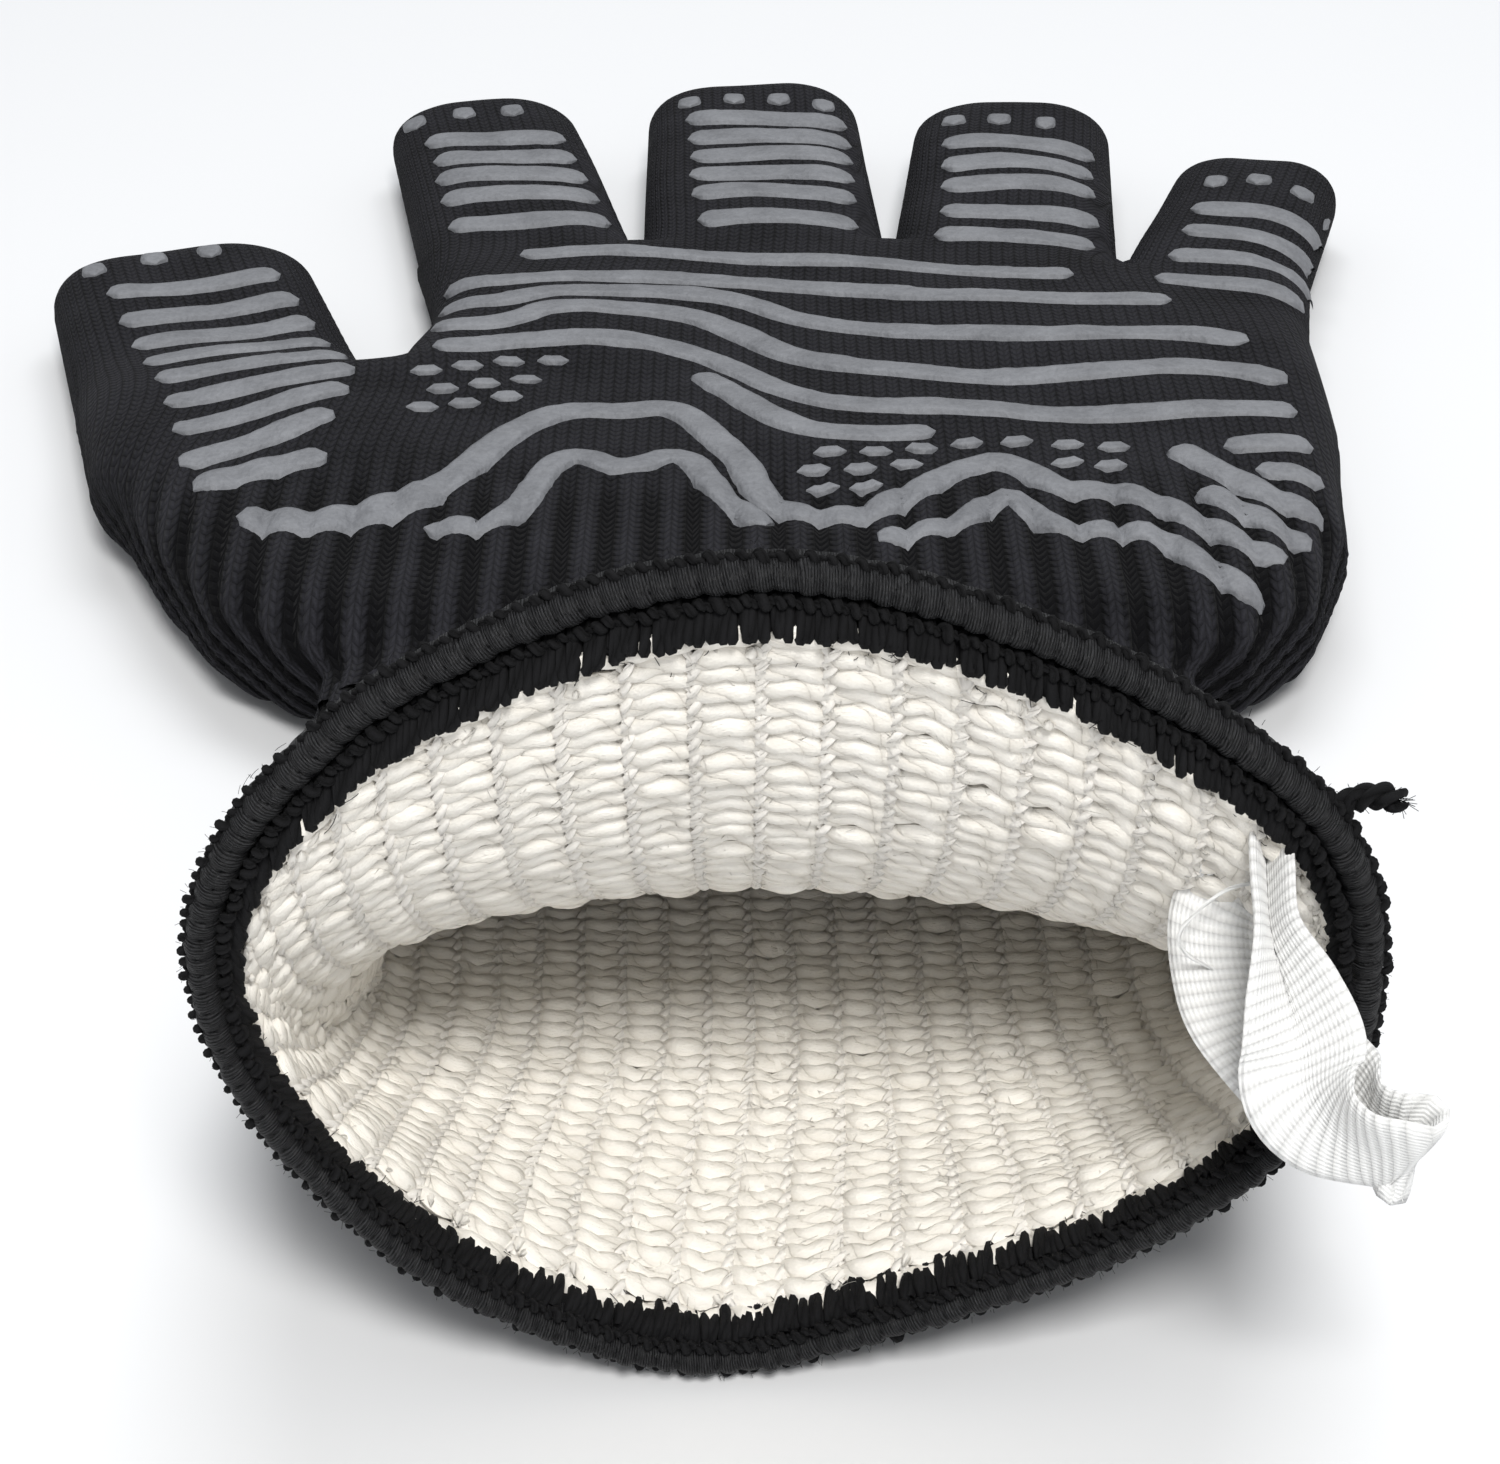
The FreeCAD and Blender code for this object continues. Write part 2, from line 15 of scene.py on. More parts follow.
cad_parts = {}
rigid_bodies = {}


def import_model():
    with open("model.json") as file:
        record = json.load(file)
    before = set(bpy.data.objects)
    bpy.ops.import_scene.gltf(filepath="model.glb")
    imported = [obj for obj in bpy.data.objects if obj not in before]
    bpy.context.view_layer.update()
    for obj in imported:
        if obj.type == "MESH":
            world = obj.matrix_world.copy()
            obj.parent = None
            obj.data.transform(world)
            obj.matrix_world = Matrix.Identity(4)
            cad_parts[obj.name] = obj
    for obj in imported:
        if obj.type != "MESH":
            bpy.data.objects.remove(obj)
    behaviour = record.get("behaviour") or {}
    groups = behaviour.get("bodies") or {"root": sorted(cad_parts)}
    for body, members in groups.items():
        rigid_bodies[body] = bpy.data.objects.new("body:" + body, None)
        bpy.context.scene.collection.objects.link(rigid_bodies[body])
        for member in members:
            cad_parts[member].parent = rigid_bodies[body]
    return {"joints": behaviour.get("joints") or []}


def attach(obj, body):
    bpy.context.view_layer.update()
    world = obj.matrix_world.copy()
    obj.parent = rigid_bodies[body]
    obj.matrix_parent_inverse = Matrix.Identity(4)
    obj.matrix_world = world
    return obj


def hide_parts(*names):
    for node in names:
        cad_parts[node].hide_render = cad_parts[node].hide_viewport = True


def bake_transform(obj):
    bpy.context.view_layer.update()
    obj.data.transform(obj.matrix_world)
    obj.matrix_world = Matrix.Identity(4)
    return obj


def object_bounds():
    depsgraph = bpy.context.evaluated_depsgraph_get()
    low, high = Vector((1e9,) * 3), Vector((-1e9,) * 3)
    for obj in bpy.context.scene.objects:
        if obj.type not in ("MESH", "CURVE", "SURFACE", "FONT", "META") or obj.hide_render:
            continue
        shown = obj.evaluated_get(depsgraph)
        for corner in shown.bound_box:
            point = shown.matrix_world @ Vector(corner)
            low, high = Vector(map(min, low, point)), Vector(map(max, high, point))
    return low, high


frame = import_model()
cad_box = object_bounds()
JOINTS = {j["name"]: j for j in frame["joints"]}
# The wrist fold's hinge in the drawing.
WRIST_FOLD = np.array([0.0, 108.0, 16.9])
SHIFT = np.array(JOINTS["wrist_fold"]["pos_m"]) * 1000 - WRIST_FOLD
rng = np.random.default_rng(11)


def to_row(points):
    """Drawing millimetres to row frame metres."""
    return (np.asarray(points, float) + SHIFT) / 1000


def unit(v):
    """Vectors of length one along the last axis."""
    return v / np.maximum(np.linalg.norm(v, axis=-1, keepdims=True), 1e-9)


def spline(a, b, c, d, t):
    """Points between b and c on a smooth curve through a, b, c and d."""
    square = 2 * a - 5 * b + 4 * c - d
    cube = 3 * b - a - 3 * c + d
    return 0.5 * ((2 * b) + (c - a) * t + square * t**2 + cube * t**3)


def hump(x, middle, width):
    """A bell curve of height one."""
    return np.exp(-((x - middle) / width) ** 2)


def run_along(points):
    """Length from the first point to each one."""
    return np.concatenate([[0], np.cumsum(np.linalg.norm(np.diff(points, axis=0), axis=1))])


def paired(a, b):
    """Two arrays stretched to one shape and put side by side."""
    return np.stack(np.broadcast_arrays(a, b), -1)


def smoothstep(low, high, x):
    """0 at low, 1 at high, with soft ends."""
    t = np.clip((np.asarray(x, float) - low) / (high - low), 0, 1)
    return t * t * (3 - 2 * t)


# ---------------------------------------------------------------- meshes from arrays


def mesh_object(name, points, quads, uv, material, normals=None, ribbing=None):
    """A smooth mesh in the row frame from drawing points, four-cornered faces and a UV for each point."""
    points = np.asarray(points, float).reshape(-1, 3)
    quads = np.asarray(quads, np.int32).reshape(-1, 4)
    uv = np.asarray(uv, float).reshape(-1, 2)
    mesh = bpy.data.meshes.new(name)
    mesh.vertices.add(len(points))
    mesh.vertices.foreach_set("co", to_row(points).astype(np.float32).ravel())
    mesh.loops.add(len(quads) * 4)
    mesh.loops.foreach_set("vertex_index", quads.ravel())
    mesh.polygons.add(len(quads))
    mesh.polygons.foreach_set("loop_start", np.arange(0, len(quads) * 4, 4, dtype=np.int32))
    mesh.polygons.foreach_set("use_smooth", np.ones(len(quads), bool))
    layer = mesh.uv_layers.new(name="UVMap")
    layer.data.foreach_set("uv", uv[quads.ravel()].astype(np.float32).ravel())
    mesh.update(calc_edges=True)
    if normals is not None:
        mesh.normals_split_custom_set_from_vertices([tuple(n) for n in np.asarray(normals).reshape(-1, 3)])
    mesh.materials.append(material)
    if ribbing is not None:
        # The ribbing attribute gives the rib strength, which the black knit's material also uses for its
        # painted shade in the rib valleys.
        attribute = mesh.attributes.new("ribbing", "FLOAT", "POINT")
        attribute.data.foreach_set("value", np.ravel(ribbing).astype(np.float32))
    obj = bpy.data.objects.new(name, mesh)
    bpy.context.scene.collection.objects.link(obj)
    return obj


def grid_quads(rows, columns, start=0, flip=False):
    """Faces of a rows by columns grid of points."""
    index = start + np.arange(rows * columns).reshape(rows, columns)
    a, b, c, d = index[:-1, :-1], index[:-1, 1:], index[1:, 1:], index[1:, :-1]
    faces = np.stack([a, d, c, b] if flip else [a, b, c, d], -1)
    return faces.reshape(-1, 4)


def grid_normals(points):
    """Normals of a grid of points that closes on itself: its last column repeats the first one."""
    along = np.gradient(points, axis=0)
    core = points[:, :-1]
    across = np.roll(core, -1, 1) - np.roll(core, 1, 1)
    across = np.concatenate([across, across[:, :1]], 1)
    along[:, -1] = along[:, 0]
    return unit(np.cross(along, across))


def tubes(paths, side, up, radius_side, radius_up, sides):
    """Points, faces and UVs of tubes. paths, side and up are (tubes, steps, 3)."""
    count, steps = paths.shape[:2]
    turn = np.linspace(0, 2 * math.pi, sides + 1)
    rs = np.broadcast_to(radius_side, (count, steps))[..., None, None]
    ru = np.broadcast_to(radius_up, (count, steps))[..., None, None]
    ring = side[:, :, None] * (np.cos(turn)[:, None] * rs) + up[:, :, None] * (np.sin(turn)[:, None] * ru)
    points = paths[:, :, None] + ring
    one = grid_quads(steps, sides + 1, flip=True)
    faces = (one[None] + (np.arange(count) * steps * (sides + 1))[:, None, None]).reshape(-1, 4)
    step = np.linalg.norm(np.diff(paths, axis=1), axis=-1)
    run = np.concatenate([np.zeros((count, 1)), np.cumsum(step, 1)], 1)
    uv = np.zeros((count, steps, sides + 1, 2))
    uv[..., 0] = run[..., None] + 17.3 * np.arange(count)[:, None, None]
    uv[..., 1] = turn / (2 * math.pi)
    return points.reshape(-1, 3), faces, uv.reshape(-1, 2)


def path_frames(paths, hint):
    """Side and up directions along paths, with up kept near the hint."""
    tangent = unit(np.gradient(paths, axis=1))
    side = unit(np.cross(tangent, hint))
    return side, unit(np.cross(side, tangent))


def cuff_strands(name, paths, hint, radius_side, radius_up, sides, material, node=None):
    """Tubes along paths as one piece that rides the cuff, and may stand for a CAD node."""
    side, up = path_frames(paths, hint)
    points, faces, uv = tubes(paths, side, up, radius_side, radius_up, sides)
    obj = mesh_object(name, points, faces, uv, material)
    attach(obj, "cuff")
    if node:
        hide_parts(node)


def join(parts):
    """Several (points, faces, uv) as one."""
    points, faces, uvs, start = [], [], [], 0
    for p, f, u in parts:
        points.append(p)
        faces.append(f + start)
        uvs.append(u)
        start += len(p)
    return np.concatenate(points), np.concatenate(faces), np.concatenate(uvs)


# ---------------------------------------------------------------- materials


class Shader:
    """A material being put together from nodes."""

    def __init__(self, name, **values):
        self.material = bpy.data.materials.new(name)
        self.material.use_nodes = True
        self.tree = self.material.node_tree
        self.surface = self.tree.nodes["Principled BSDF"]
        for key, value in values.items():
            self.surface.inputs[key.replace("_", " ")].default_value = value

    def node(self, kind, settings=(), **inputs):
        made = self.tree.nodes.new(kind)
        for key, value in dict(settings).items():
            setattr(made, key, value)
        for key, value in inputs.items():
            socket = made.inputs[int(key[1:])] if key[0] == "i" and key[1:].isdigit() else made.inputs[key]
            if isinstance(value, bpy.types.NodeSocket):
                self.tree.links.new(value, socket)
            else:
                socket.default_value = value
        return made

    def math(self, operation, *values):
        inputs = {f"i{i}": v for i, v in enumerate(values)}
        return self.node("ShaderNodeMath", {"operation": operation}, **inputs).outputs[0]

    def ridge(self, value):
        """Sharp ridges from 0 to 1, one for each unit of the value."""
        return self.math("MULTIPLY", self.math("PINGPONG", value, 0.5), 2.0)

    def ripple(self, value, power):
        """The same ridges, rounded."""
        return self.math("POWER", self.ridge(value), power)

    def total(self, *terms):
        """Sum of (socket, weight) terms."""
        result = self.math("MULTIPLY", *terms[0])
        for term in terms[1:]:
            result = self.math("ADD", result, self.math("MULTIPLY", *term))
        return result

    def uv(self):
        """The UV vector and its two parts."""
        coordinates = self.node("ShaderNodeUVMap", {"uv_map": "UVMap"}).outputs[0]
        split = self.node("ShaderNodeSeparateXYZ", i0=coordinates)
        return coordinates, split.outputs[0], split.outputs[1]

    def scaled(self, vector, x, y, z=1.0):
        return self.node("ShaderNodeMapping", Vector=vector, Scale=(x, y, z)).outputs[0]

    def place(self):
        return self.node("ShaderNodeTexCoord").outputs["Object"]

    def noise(self, vector, scale, detail=3.0, roughness=0.6):
        values = {"Vector": vector, "Scale": scale, "Detail": detail, "Roughness": roughness}
        made = self.node("ShaderNodeTexNoise", **values)
        return made.outputs[0]

    def ramp(self, factor, *stops):
        made = self.node("ShaderNodeValToRGB", Fac=factor)
        elements = made.color_ramp.elements
        while len(elements) < len(stops):
            elements.new(0.5)
        for element, (position, color) in zip(elements, stops):
            element.position = position
            element.color = (*color, 1.0)
        return made.outputs[0]

    def color(self, socket):
        self.tree.links.new(socket, self.surface.inputs["Base Color"])

    def roughness(self, socket):
        self.tree.links.new(socket, self.surface.inputs["Roughness"])

    def bump(self, *layers):
        """Bump from (height, distance in metres) layers."""
        normal = None
        for height, distance in layers:
            extra = {} if normal is None else {"Normal": normal}
            made = self.node("ShaderNodeBump", Height=height, Distance=distance, Strength=1.0, **extra)
            normal = made.outputs[0]
        self.tree.links.new(normal, self.surface.inputs["Normal"])


def knit_material(name, dark, light, distance, sheen):
    """Plain knit. UV counts wales across and courses along. Where a mesh carries the ribbing attribute,
    painted shade darkens the rib valleys and a little painted light brightens the crests.
    """
    shader = Shader(name, Roughness=0.92, Sheen_Weight=sheen, Sheen_Roughness=0.5, Specular_IOR_Level=0.10)
    _, u, v = shader.uv()
    wale = shader.ridge(u)
    leg = shader.math("MULTIPLY", shader.math("PINGPONG", u, 0.25), 4.0)
    leg = shader.math("POWER", leg, 0.6)
    slanted = shader.math("ADD", v, shader.math("MULTIPLY", wale, 0.55))
    course = shader.ripple(slanted, 0.6)
    body = shader.math("POWER", wale, 0.5)
    stitch = shader.math("MULTIPLY", shader.math("ADD", leg, body), shader.math("ADD", course, 0.45))
    fuzz = shader.noise(shader.place(), 2600.0, 2.0)
    patch = shader.noise(shader.place(), 90.0, 3.0)
    tone = shader.total((stitch, 0.09), (patch, 0.36), (fuzz, 0.24))
    # Painted shade: the colour darkens towards each rib valley and lightens a little on the crests, scaled
    # by the ribbing attribute.
    crest = shader.math("PINGPONG", shader.math("MULTIPLY", u, 1 / 3), 0.5)
    ribbing = shader.node("ShaderNodeAttribute", {"attribute_name": "ribbing"}).outputs["Fac"]
    painted_valley_shade = shader.math("SUBTRACT", shader.math("MULTIPLY", crest, 0.90), 0.12)
    tone = shader.math("SUBTRACT", tone, shader.math("MULTIPLY", painted_valley_shade, ribbing))
    shader.color(shader.ramp(tone, (0.25, dark), (0.85, light)))
    shader.bump((stitch, distance), (fuzz, distance * 0.25))
    return shader.material


def yarn_material(name, shade, light, plies, distance, sheen):
    """Plied yarn. UV runs along the yarn in millimetres and once round it."""
    shader = Shader(name, Roughness=0.88, Sheen_Weight=sheen, Sheen_Roughness=0.45, Specular_IOR_Level=0.14)
    coordinates, u, v = shader.uv()
    twist = shader.total((v, float(plies)), (u, 0.28))
    ply = shader.ripple(twist, 0.5)
    fibre = shader.noise(shader.scaled(coordinates, 1.2, 16.0), 1.6, 4.0, 0.7)
    fuzz = shader.noise(shader.place(), 3000.0, 2.0)
    patch = shader.noise(shader.place(), 140.0, 2.0)
    tone = shader.total((ply, 0.4), (fibre, 0.35), (patch, 0.3))
    shader.color(shader.ramp(tone, (0.25, shade), (0.8, light)))
    shader.bump((ply, distance), (fibre, distance * 0.7), (fuzz, distance * 0.25))
    return shader.material


def satin_material(name, shade, light):
    """Wrapped thread. UV counts stitches along the edge and runs once across the band. The colour runs
    between the threads' own dark tone and a painted highlight that stands in for the thread's sheen.
    """
    shader = Shader(name, Roughness=0.48, Sheen_Weight=0.02, Sheen_Roughness=0.4, Specular_IOR_Level=0.22)
    coordinates, u, _ = shader.uv()
    wander = shader.noise(shader.scaled(coordinates, 2.0, 1.5), 1.0, 2.0)
    lines = shader.total((u, 8.0), (wander, 1.6))
    thread = shader.ripple(lines, 0.6)
    fibre = shader.noise(shader.scaled(coordinates, 26.0, 7.0), 1.0, 3.0, 0.75)
    tone = shader.total((thread, 0.35), (fibre, 0.65))
    # Partly the thread's own tone, partly painted highlight: the light end of the ramp stands in for the
    # satin's sheen.
    shader.color(shader.ramp(tone, (0.42, shade), (0.70, light)))
    shader.bump((thread, 0.00024), (fibre, 0.00030))
    return shader.material


def silicone_material():
    """Matt grey silicone with a trace of the knit under it."""
    shader = Shader("grip_silicone_print", Roughness=0.6, Specular_IOR_Level=0.3)
    place = shader.place()
    grain = shader.noise(place, 1500.0, 3.0)
    knit_through = shader.noise(shader.scaled(place, 1.0, 0.45, 1.0), 620.0, 2.0)
    patch = shader.noise(place, 160.0, 3.0)
    tone = shader.total((patch, 0.6), (grain, 0.4))
    shader.color(shader.ramp(tone, (0.3, (0.120, 0.123, 0.133)), (0.72, (0.220, 0.226, 0.242))))
    shader.roughness(shader.math("ADD", shader.math("MULTIPLY", patch, 0.25), 0.45))
    shader.bump((knit_through, 0.00035), (grain, 0.00010))
    return shader.material


def twill_material():
    """White woven tape. UV runs in millimetres along and across."""
    shader = Shader("cotton_tape_twill", Roughness=0.8, Sheen_Weight=0.3, Sheen_Roughness=0.4,
                    Specular_IOR_Level=0.25)
    _, u, v = shader.uv()
    slant = shader.total((u, 1.15), (v, 0.22))
    twill = shader.ripple(slant, 0.7)
    warp = shader.ridge(shader.math("MULTIPLY", v, 2.6))
    fuzz = shader.noise(shader.place(), 3000.0, 2.0)
    tone = shader.total((twill, 0.6), (warp, 0.2), (fuzz, 0.2))
    shader.color(shader.ramp(tone, (0.2, (0.62, 0.62, 0.61)), (0.75, (0.80, 0.80, 0.79))))
    shader.bump((twill, 0.00014), (warp, 0.00005), (fuzz, 0.00006))
    return shader.material


SHELL = knit_material("aramid_knit_black", (0.0020, 0.0020, 0.0026), (0.038, 0.038, 0.046), 0.00020, 0.012)
LINING = knit_material("cotton_knit_ground", (0.60, 0.57, 0.53), (0.80, 0.78, 0.74), 0.00040, 0.1)
YARN = yarn_material("cotton_yarn_white", (0.69, 0.65, 0.58), (0.90, 0.87, 0.81), 2, 0.00020, 0.12)
# A darker copy of the white yarn for the loops in the rib valleys: painted shade, partly the black knit seen
# through the yarn.
CROSS_YARN_SHADED = yarn_material("cotton_yarn_grey_and_shade", (0.64, 0.61, 0.56), (0.87, 0.84, 0.79), 2, 0.00012, 0.1)
BEAD_DARK = (0.0008, 0.0008, 0.0010)
BEAD_LIGHT = (0.0095, 0.0095, 0.0105)
BEAD = yarn_material("binding_bead_thread", BEAD_DARK, BEAD_LIGHT, 3, 0.00014, 0.01)
# The satin's light colour is a painted highlight for its sheen, over the thread's own dark tone.
SATIN = satin_material("binding_wrap_thread", (0.0006, 0.0006, 0.0009), (0.0440, 0.0445, 0.0475))
SILICONE = silicone_material()
TWILL = twill_material()
TACK = yarn_material("tack_thread_white", (0.62, 0.62, 0.61), (0.86, 0.86, 0.85), 2, 0.00010, 0.2)

# ---------------------------------------------------------------- the cuff's surface

# The edge's outline, from the bottom centre round by the right.
RIM_OUTLINE = [
    (1.0, 0.2), (9.0, 2.6), (18.0, 6.2), (30.8, 12.0), (42.6, 21.6), (48.0, 31.0), (49.0, 38.0),
    (48.6, 45.0), (47.0, 50.8), (43.6, 56.4), (38.4, 61.3), (32.2, 65.6), (26.2, 69.2), (17.9, 72.9),
    (9.8, 75.5), (1.1, 76.6), (-7.5, 75.4), (-15.6, 72.6), (-22.7, 69.2), (-29.2, 65.1), (-34.0, 60.6),
    (-38.2, 56.0), (-41.4, 50.8), (-43.4, 45.0), (-43.6, 38.5), (-41.8, 31.0), (-37.3, 22.2),
    (-29.0, 12.2), (-17.9, 4.4), (-8.0, 0.5),
]
SAMPLES = 960


def closed_curve(points, count):
    """A smooth closed curve through points, evenly spaced, from the first point."""
    p = np.asarray(points, float)
    n = len(p)
    steps = 40
    fine = []
    for i in range(n):
        a, b, c, d = p[i - 1], p[i], p[(i + 1) % n], p[(i + 2) % n]
        t = np.linspace(0, 1, steps, endpoint=False)[:, None]
        fine.append(spline(a, b, c, d, t))
    fine = np.concatenate(fine)
    for _ in range(12):
        fine = 0.5 * fine + 0.25 * (np.roll(fine, 1, 0) + np.roll(fine, -1, 0))
    fine = np.concatenate([fine, fine[:1]])
    run = run_along(fine)
    want = np.linspace(0, run[-1], count, endpoint=False)
    return np.stack([np.interp(want, run, fine[:, k]) for k in (0, 1)], 1), run[-1]


RIM, RIM_LENGTH = closed_curve(RIM_OUTLINE, SAMPLES)
rim_tangent = unit(np.roll(RIM, -1, 0) - np.roll(RIM, 1, 0))
RIM_NORMAL = np.stack([rim_tangent[:, 1], -rim_tangent[:, 0]], 1)

# Stations along the cuff: distance, middle, half width, lowest and highest point of the outside.
MIDDLE, HALF_WIDTH, BOTTOM, TOP = 1, 2, 3, 4
CUFF_STATIONS = np.array([
    (-2.0, 2.7, 44.6, 1.8, 75.0),
    (3.0, 2.7, 44.8, 1.5, 68.2),
    (8.0, 2.7, 45.2, 1.0, 58.2),
    (13.0, 2.7, 45.6, 0.8, 49.0),
    (19.0, 2.6, 45.9, 0.7, 41.6),
    (28.0, 2.5, 46.2, 0.6, 35.0),
    (40.0, 2.3, 46.6, 0.6, 28.6),
    (54.0, 2.0, 46.9, 0.6, 23.2),
    (75.0, 1.4, 47.2, 0.6, 18.6),
    (108.0, 0.8, 47.6, 0.6, 16.6),
    (132.0, 0.8, 47.6, 0.6, 16.4),
])


def station(column, y):
    """A station quantity at distance y, smoothed between the stations."""
    fine = np.linspace(-4, 134, 553)
    value = np.interp(fine, CUFF_STATIONS[:, 0], CUFF_STATIONS[:, column])
    kernel = np.hanning(25)
    value = np.convolve(np.pad(value, 12, mode="edge"), kernel / kernel.sum(), mode="valid")
    return np.interp(y, fine, value)


OVAL_POWER = 2.3


def flat_oval(count):
    """The wrist's outline as a unit shape, evenly spaced round a flat oval, from the bottom centre."""
    turn = np.linspace(0, 2 * math.pi, 6000, endpoint=False) - math.pi / 2
    power = 2 / OVAL_POWER
    x = np.sign(np.cos(turn)) * np.abs(np.cos(turn)) ** power
    z = np.sign(np.sin(turn)) * np.abs(np.sin(turn)) ** power
    shape = np.stack([np.append(x, x[0]), np.append(z, z[0])], 1)
    real = shape * np.array([47.0, 9.0])
    run = run_along(real)
    want = np.linspace(0, run[-1], count, endpoint=False)
    return np.stack([np.interp(want, run, shape[:, k]) for k in (0, 1)], 1)


fabric_rim = RIM - RIM_NORMAL * 1.6
low, high = fabric_rim.min(0), fabric_rim.max(0)
RIM_UNIT = (fabric_rim - (low + high) / 2) / ((high - low) / 2)
WRIST_UNIT = flat_oval(SAMPLES)
RIM_UNIT = np.concatenate([RIM_UNIT, RIM_UNIT[:1]])
WRIST_UNIT = np.concatenate([WRIST_UNIT, WRIST_UNIT[:1]])


def cuff_grid(ys, turns):
    """Points and normals of the cuff's outside at distances ys and turns, 0 to 1 from the bottom centre."""
    ys = np.asarray(ys, float)
    turns = np.asarray(turns, float)
    at = (turns % 1.0) * SAMPLES
    at = np.where(turns == 1.0, SAMPLES, at)
    shapes = []
    for table in (RIM_UNIT, WRIST_UNIT):
        shapes.append(np.stack([np.interp(at, np.arange(SAMPLES + 1), table[:, k]) for k in (0, 1)], -1))
    share = smoothstep(4, 46, ys)[:, None, None]
    shape = shapes[0][None] * (1 - share) + shapes[1][None] * share
    middle, half = station(MIDDLE, ys)[:, None], station(HALF_WIDTH, ys)[:, None]
    bottom, top = station(BOTTOM, ys)[:, None], station(TOP, ys)[:, None]
    x = middle + half * shape[..., 0]
    z = (bottom + top) / 2 + (top - bottom) / 2 * shape[..., 1]
    y = np.broadcast_to(ys[:, None], x.shape)
    points = np.stack([x, y, z], -1)
    return points, grid_normals(points)


# Ribs round the black knit and the lining, and the black knit's stitch height.
RIBS = 44
LINING_RIBS = 48
COURSE = 1.45


def rib_wave(phase):
    """Rounded ribs with narrow valleys; phase counts ribs and is whole at each crest."""
    return 1.7 * (np.abs(np.cos(math.pi * phase)) ** 0.7 - 0.6)


def build_cuff_shell():
    """The black knit of the cuff, ribbed round."""
    columns = RIBS * 10 + 1
    turns = np.linspace(0, 1, columns)
    ys = np.arange(-0.6, 97.0, 1.4)
    points, normals = cuff_grid(ys, turns)
    height = 0.75 * rib_wave(turns * RIBS)[None] * smoothstep(-1, 7, ys)[:, None]
    height = height - 0.25 * smoothstep(92, 95, ys)[:, None]
    points = points + normals * (height - 0.3)[..., None]
    uv = paired(turns[None] * RIBS * 3, ys[:, None] / COURSE)
    # Full rib strength all round, which also gives full painted shade in the cuff's rib valleys.
    obj = mesh_object("cuff_knit", points, grid_quads(len(ys), columns, flip=True), uv, SHELL,
                      grid_normals(points), np.ones(points.shape[:2]))
    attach(obj, "cuff")
    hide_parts("cuff_shell")


# ---------------------------------------------------------------- the cuff's lining

LINING_INSET = 2.9
EDGE_INSET = 1.3
meridian_y = np.arange(-1.0, 128.0, 0.5)
lining_turns = np.linspace(0, 1, LINING_RIBS * 11 + 1)


def side_fold(y, turns):
    """How far the lining stands in where the left side wall curls, and a smaller curl on the right."""
    left = 7.5 * hump(turns, 0.74, 0.045) * hump(y, 40.0, 17.0)
    right = 2.5 * hump(turns, 0.27, 0.05) * hump(y, 46.0, 20.0)
    return left + right


def lining_surface():
    """The lining under its yarn, as points and outward normals."""
    points, normals = cuff_grid(meridian_y, lining_turns)
    fold = side_fold(meridian_y[:, None], lining_turns[None])
    inset = EDGE_INSET + (LINING_INSET - EDGE_INSET) * smoothstep(0, 9, meridian_y)[:, None]
    points = points - normals * (inset + fold)[..., None]
    return points, grid_normals(points)


LINING_POINTS, LINING_NORMALS = lining_surface()
step = np.linalg.norm(np.diff(LINING_POINTS, axis=0), axis=-1)
MERIDIAN = np.concatenate([np.zeros((1, LINING_POINTS.shape[1])), np.cumsum(step, 0)])
MERIDIAN -= np.stack([np.interp(1.0, meridian_y, MERIDIAN[:, k]) for k in range(MERIDIAN.shape[1])])


def on_lining(depth, turns, height):
    """Points and inward normals of the lining at depths from the edge, turns, and heights into the cuff."""
    flat_d, flat_t = np.ravel(depth), np.ravel(turns) % 1.0
    column = flat_t * (len(lining_turns) - 1)
    c0 = np.minimum(column.astype(int), len(lining_turns) - 2)
    mix = (column - c0)[:, None]
    out_p, out_n = 0, 0
    for c, weight in ((c0, 1 - mix), (c0 + 1, mix)):
        rows = (MERIDIAN[:, c] < flat_d).sum(0).clip(1, len(meridian_y) - 1)
        d0, d1 = MERIDIAN[rows - 1, c], MERIDIAN[rows, c]
        t = ((flat_d - d0) / np.maximum(d1 - d0, 1e-6)).clip(0, 1)[:, None]
        out_p = out_p + weight * (LINING_POINTS[rows - 1, c] * (1 - t) + LINING_POINTS[rows, c] * t)
        out_n = out_n + weight * (LINING_NORMALS[rows - 1, c] * (1 - t) + LINING_NORMALS[rows, c] * t)
    inward = -unit(out_n)
    shape = np.shape(depth) + (3,)
    return (out_p + inward * np.ravel(height)[:, None]).reshape(shape), inward.reshape(shape)


ROWS = 37
FRONT_ROWS = 17
ROW_PITCH = 2.05


def first_row(turns):
    """Depth of the first course below the edge; less where the lining turns up steeply to the top."""
    return 2.3 - 1.9 * hump(turns, 0.5, 0.22)


def build_lining_ground():
    """The lining's ground under the yarn rows, and its end at the wrist."""
    rise = 0.30 + 0.35 * rib_wave(lining_turns * LINING_RIBS)[None] * np.ones((len(meridian_y), 1))
    rise = rise * smoothstep(2, 6, meridian_y)[:, None]
    points = LINING_POINTS - LINING_NORMALS * rise[..., None]
    normals = -grid_normals(points)
    uv = paired(lining_turns[None] * LINING_RIBS * 2, meridian_y[:, None] / 2.0)
    cut = int(np.searchsorted(meridian_y, 90.0))
    first = int(np.searchsorted(meridian_y, 0.5))
    for name, rows in (("cuff_lining", slice(first, cut + 1)), ("wrist_lining", slice(cut, None))):
        part = points[rows]
        obj = mesh_object(name, part, grid_quads(*part.shape[:2]), uv[rows], LINING,
                          normals[rows])
        if name == "cuff_lining":
            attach(obj, "cuff")
            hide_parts("cuff_liner")
        else:
            wrist_bend(obj)


def wrist_bend(obj):
    """Bake a wrist piece's place into its points."""
    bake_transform(obj)


